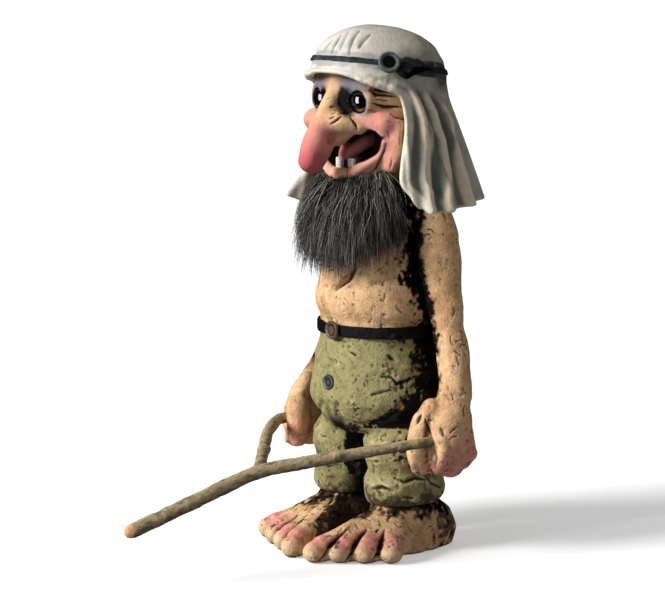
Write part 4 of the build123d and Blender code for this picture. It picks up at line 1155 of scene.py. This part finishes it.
def make_foot(name, side):
    ankle = np.array([17.3 * side, 0.0, 13.0])
    big, little = (np.array([*end, TOE_HEIGHT]) for end in TOE_ENDS[name])
    tips = [big + (little - big) * share for share in (0, 1 / 3, 2 / 3, 1)]
    ways = [(tip - ankle) * LEVEL / np.linalg.norm((tip - ankle) * LEVEL) for tip in tips]
    clay, slots = foot_clay(name, ankle, tips, ways)
    foot = Casting(clay.form(), 2)
    foot.carve([[foot.snap(point) for point in path] for path in slots], 1.2, 1.5, 1.3)
    foot.weather(71 + side, foot.points[:, 2] > 8, 60, 0.4)
    points = foot.points
    points[:, 2] = np.maximum(points[:, 2], 0)
    foot.base(TAN, TAN_DEEP, 0.7, 7, 73, -0.2, 0.8)
    for tip in tips:
        foot.coat(ROSE, 0.85 * foot.ball(tip + [0, 0, 3.5], 7.5, 3.5))
    foot.wash_shade_and_highlight(WASH_AND_SHADE, TAN_PALE)
    for tip, way in zip(tips, ways):
        foot.coat(NAIL, 0.7 * foot.ball(tip + 6.0 * way - [0, 0, 1.0], 4.4, 2.6))
    ragged = 4 * noise(points, 5, 77) + 4 * noise(points, 1.8, 78)
    # Dark brown, then black, at the top of the foot: painted shade under the trouser cuffs
    foot.coat(WASH_AND_SHADE, 0.85 * ramp(points[:, 2] + ragged, 14.5, 18.5))
    foot.coat(BLACK, 0.9 * ramp(points[:, 2] + 1.5 * ragged, 18.0, 22.0))
    # Darker on the far side: painted shade
    foot.coat(WASH_AND_SHADE, 0.75 * foot.mirrored_most(lambda across, down: ramp(across + 5 * ragged, 436, 452)))
    # Black on the inner side behind the toes: painted shadow between the feet
    inward = ramp(-foot.normals[:, 0] * side, 0.25, 0.6) * ramp(-np.abs(points[:, 0]), -17, -11)
    behind_toes = ramp(points[:, 1] + 2 * ragged, -38, -28)
    foot.coat(BLACK, 0.9 * ramp(inward + 0.1 * ragged, 0.25, 0.6) * behind_toes)
    # Darker along the sole: painted shade at the floor
    foot.coat(WASH_AND_SHADE * 0.6, 0.8 * ramp(-points[:, 2], -2.2, -0.4))
    foot.finish(name + "_casting", skin_paint, name)


# Each stud's colour, and the radius of the dark ring in its middle
STUDS = {"belt_buckle": (linear(122, 104, 84), 2.2), "trouser_button": (linear(96, 104, 104), 1.5)}


def make_trims():
    belt = Casting(node_volume("belt", 0.4, soften=2).form(), 2)
    belt.ripple(0.2 * noise(belt.points, 3, 81) + 0.2 * noise(belt.points, 8, 82))
    belt.base(linear(10, 8, 9), linear(66, 70, 76), 0.3, 4, 83, 0.3, 1)
    belt.finish("belt_strap", belt_leather, "belt")
    for name, (colour, hole) in STUDS.items():
        stud = Casting(node_volume(name, 0.28, soften=2).form(), 2)
        stud.paint[:] = colour
        # Black in the hollows: painted shade
        stud.coat(BLACK, 0.9 * ramp(stud.hollow(10), 0.04, 0.25))
        middle = stud.points[stud.points[:, 1] < stud.points[:, 1].min() + 1.5].mean(0)
        stud.coat(BLACK, 0.7 * ramp(-np.abs(apart(stud.points, middle) - hole), -0.7, -0.3))
        stud.finish(name + "_stud", trim_metal, name)


# Beard: strands in tufts that fan out from the jaw, over a dark pelt
BEARD_SHADES = (linear(40, 37, 36), linear(82, 79, 77), linear(126, 122, 117), linear(170, 164, 155))
SHADE_SHARES = (0.42, 0.34, 0.17, 0.07)
TUFTS = 400
TUFT_STRANDS = 24
STRAND_RADIUS = 0.16
STRAND_RINGS = 8
STRAND_SIDES = 3


def strand_mesh(paths):
    """Tapered strands along paths, all in one mesh."""
    rings, sides = STRAND_RINGS, STRAND_SIDES
    share = np.linspace(0, 1, rings)
    radius = STRAND_RADIUS * (1 - 0.85 * share ** 2)
    turns = 2 * math.pi * np.arange(sides) / sides
    ring = np.stack([np.cos(turns), np.sin(turns), np.zeros(sides)], 1)
    verts = paths[:, :, None, :] + radius[None, :, None, None] * ring[None, None]
    step, side = np.meshgrid(np.arange(rings - 1), np.arange(sides), indexing="ij")
    here, beside = step * sides + side, step * sides + (side + 1) % sides
    pattern = np.stack([here, beside, beside + sides, here + sides], -1).reshape(-1, 4)
    faces = np.arange(len(paths))[:, None, None] * rings * sides + pattern[None]
    return verts.reshape(-1, 3), faces.reshape(-1, 4).tolist()


def make_beard():
    clay = node_volume("beard", 0.9, soften=5)
    above_lip = boxed((-40, -40, 150), (40, 10, 180), lambda points: (
        157.0 + 0.5 * np.maximum(np.abs(points[..., 0]) - 8, 0) - points[..., 2]))
    clay.cut(above_lip, blend=2)
    pelt = Casting(clay.form(), 6)
    pelt.points = pelt.points - pelt.normals * 1.9
    pelt.paint[:] = linear(20, 18, 18)
    pelt.finish("beard_pelt", beard_fur, "beard")
    share = np.linspace(0, 1, STRAND_RINGS)[:, None]
    paths, shades = [], []
    for _ in range(TUFTS):
        turn = math.radians(random.uniform(-88, 88))
        depth = random.uniform(0, 1) ** 0.8
        sideways = abs(math.sin(turn))
        length = random.uniform(16, 32) * (1 - 0.1 * sideways)
        root_height = 162.8 + 4.5 * sideways ** 2 - 8 * depth
        root = np.array([17.5 * math.sin(turn), -8 - 16.2 * math.cos(turn), root_height])
        aim = turn + random.normal(0, 0.12)
        outward = np.array([math.sin(aim), -math.cos(aim), 0.0])
        lean = random.uniform(4, 12) * (0.6 + 0.4 * math.cos(turn)) + 3 * sideways
        tip = root + lean * outward + [0, 0, -length]
        for _ in range(TUFT_STRANDS):
            start = root + random.normal(0, 1.5, 3) * [1, 0.7, 1]
            end = tip + random.normal(0, 1.8, 3) + [0, 0, random.normal(0, 3.0)]
            bow = random.normal(0, 0.8, 3) + outward * 2.6
            wave = random.normal(0, 0.25, 3)
            path = start + (end - start) * share + bow * np.sin(np.pi * share)
            paths.append(path + wave * np.sin(3.5 * np.pi * share))
            shade = BEARD_SHADES[random.choice(4, p=SHADE_SHARES)]
            shades.append(shade * random.uniform(0.8, 1.2))
    verts, faces = strand_mesh(np.array(paths))
    paint = np.repeat(np.array(shades), STRAND_RINGS * STRAND_SIDES, axis=0)
    stand("beard_strands", verts, faces, paint, beard_fur, [])


# Twig: a tapering stem, a side branch, knots, bark and pale cut ends
TWIG_TIP, TWIG_FORK = np.array([0.5, -135.0, 25.0]), np.array([13.5, -78.0, 44.5])
LEFT_BEND, LEFT_END = np.array([44.5, -17.0, 53.0]), np.array([44.5, 2.0, 53.0])
TWIG_KNEE = np.array([-29.0, -39.5, 49.4])
RIGHT_BEND, RIGHT_END = np.array([-44.5, -20.9, 50.8]), np.array([-44.5, -1.9, 50.8])


def make_twig():
    mid_stem, mid_left, mid_right = (
        (first + second) / 2 for first, second in
        ((TWIG_TIP, TWIG_FORK), (TWIG_FORK, LEFT_BEND), (TWIG_FORK, TWIG_KNEE)))
    stem = [TWIG_TIP, mid_stem + [0.6, 0, 0.5], TWIG_FORK, mid_left + [0, 0, 0.6], LEFT_BEND, LEFT_END]
    branch = [TWIG_FORK, mid_right + [0, 0, 0.5], TWIG_KNEE, RIGHT_BEND, RIGHT_END]
    clay = node_volume("divining_twig", 0.4, soften=3)
    clay.add(chain(stem, [2.8, 2.8, 2.6, 2.3, 2.0, 1.9]), blend=1)
    clay.add(chain(branch, [2.4, 2.1, 2.2, 2.0, 1.9]), blend=2)
    stem_knots = [TWIG_TIP * (1 - share) + TWIG_FORK * share for share in (0.28, 0.65)]
    for knot in (*stem_knots, mid_left, mid_right):
        clay.add(egg(knot + [0.8, 0, 1.2], (2.2, 3.2, 2.0)), blend=1.5)
    twig = Casting(clay.form(), 1)
    twig.ripple(0.22 * noise(twig.points, 4, 91) + 0.12 * noise(twig.points * [1, 0.25, 1], 0.8, 93))
    points = twig.points
    twig.paint[:] = BARK
    twig.coat(BARK_DEEP, 0.7 * ramp(noise(points * [1, 0.2, 1], 1.4, 95), -0.1, 0.8))
    twig.coat(BARK_PALE, 0.6 * ramp(noise(points * [1, 0.3, 1], 2.2, 97), 0.2, 1))
    twig.wash_shade_and_highlight(WASH_AND_SHADE, BARK_PALE, 0.8)
    # Darker underneath: painted shade
    twig.coat(BARK_DEEP * 0.7, 0.7 * ramp(-twig.normals[:, 2] + 0.3 * noise(points, 3, 99), 0.0, 0.7))
    twig.coat(CUT_WOOD, twig.ball(TWIG_TIP, 3.6, 2.9) * (points[:, 1] < TWIG_TIP[1]))
    twig.finish("twig_stick", twig_bark, "divining_twig", "twig")


def make_pegs():
    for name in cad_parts:
        if name.endswith("_peg"):
            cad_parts[name].data.materials.clear()
            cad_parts[name].data.materials.append(peg_wood)


# Stage: a pale floor, a low key light from the left, and a window that only shows as a reflection
FLOOR_REACH = 40.0
FLOOR_COLOUR = (0.9, 0.9, 0.89)
FLOOR_GLOW = 0.34
WINDOW_DISTANCE = 700
WINDOW_GLOW = 6.0
WORLD_STRENGTH = 0.26
KEY_STRENGTH = 4.4
KEY_SPREAD = math.radians(22)
KEY_FROM = (-0.3, -0.85, 0.48)


def flat_piece(name, corners, colour, glow):
    """One face of the stage, which gives off light that no other piece takes up."""
    material = bpy.data.materials.new(name)
    material.use_nodes = True
    shader = material.node_tree.nodes["Principled BSDF"]
    shader.inputs["Base Color"].default_value = (*colour, 1)
    shader.inputs["Roughness"].default_value = 0.9
    shader.inputs["Emission Color"].default_value = (1, 1, 1, 1)
    shader.inputs["Emission Strength"].default_value = glow
    piece = new_piece(name, corners, [(0, 1, 2, 3)], material)
    piece.visible_diffuse = False
    return piece


def make_stage():
    scene = bpy.context.scene
    low, high = -FLOOR_REACH, FLOOR_REACH
    corners = [(low, low, 0), (high, low, 0), (high, high, 0), (low, high, 0)]
    floor = flat_piece("floor", corners, FLOOR_COLOUR, FLOOR_GLOW)
    floor.visible_glossy = False
    toward = EYE_POINT - EYE
    toward /= np.linalg.norm(toward)
    middle = EYE + WINDOW_DISTANCE * (0.54 * toward - 0.84 * RIGHT + 0.06 * ABOVE)
    wide, tall = 190 * (0.54 * RIGHT + 0.84 * toward), 330 * ABOVE
    corners = (middle - wide - tall, middle + wide - tall, middle + wide + tall, middle - wide + tall)
    window = flat_piece("window", [(corner + AXIS) * MM for corner in corners], (0.0, 0.0, 0.0), WINDOW_GLOW)
    window.visible_camera = False
    window.visible_shadow = False
    world = bpy.data.worlds.new("studio")
    world.use_nodes = True
    background = world.node_tree.nodes["Background"]
    background.inputs["Color"].default_value = (1.0, 1.0, 1.0, 1)
    background.inputs["Strength"].default_value = WORLD_STRENGTH
    scene.world = world
    world.cycles_visibility.glossy = False
    key = bpy.data.lights.new("key", "SUN")
    key.energy = KEY_STRENGTH
    key.angle = KEY_SPREAD
    lamp = bpy.data.objects.new("key", key)
    lamp.visible_glossy = False
    lamp.rotation_euler = Vector(KEY_FROM).to_track_quat("Z", "Y").to_euler()
    scene.collection.objects.link(lamp)
    lens = bpy.data.cameras.new("camera")
    lens.sensor_width = 36.0
    lens.lens = FOCAL_PIXELS / PHOTO_WIDTH * lens.sensor_width
    lens.clip_end = 100.0
    camera = bpy.data.objects.new("camera", lens)
    camera.location = (EYE_POINT + AXIS) * MM
    camera.rotation_euler = Vector(AHEAD).to_track_quat("-Z", "Y").to_euler()
    scene.collection.objects.link(camera)
    scene.camera = camera
    scene.view_settings.view_transform = "Standard"


make_stage()
make_head()
make_eyes()
make_mouth()
make_scarf()
make_band()
make_torso()
make_trousers()
lines_of_fist = make_arm("left_arm", 1)
make_arm("right_arm", -1, lines_of_fist)
make_foot("left_foot", 1)
make_foot("right_foot", -1)
make_trims()
make_beard()
make_twig()
make_pegs()
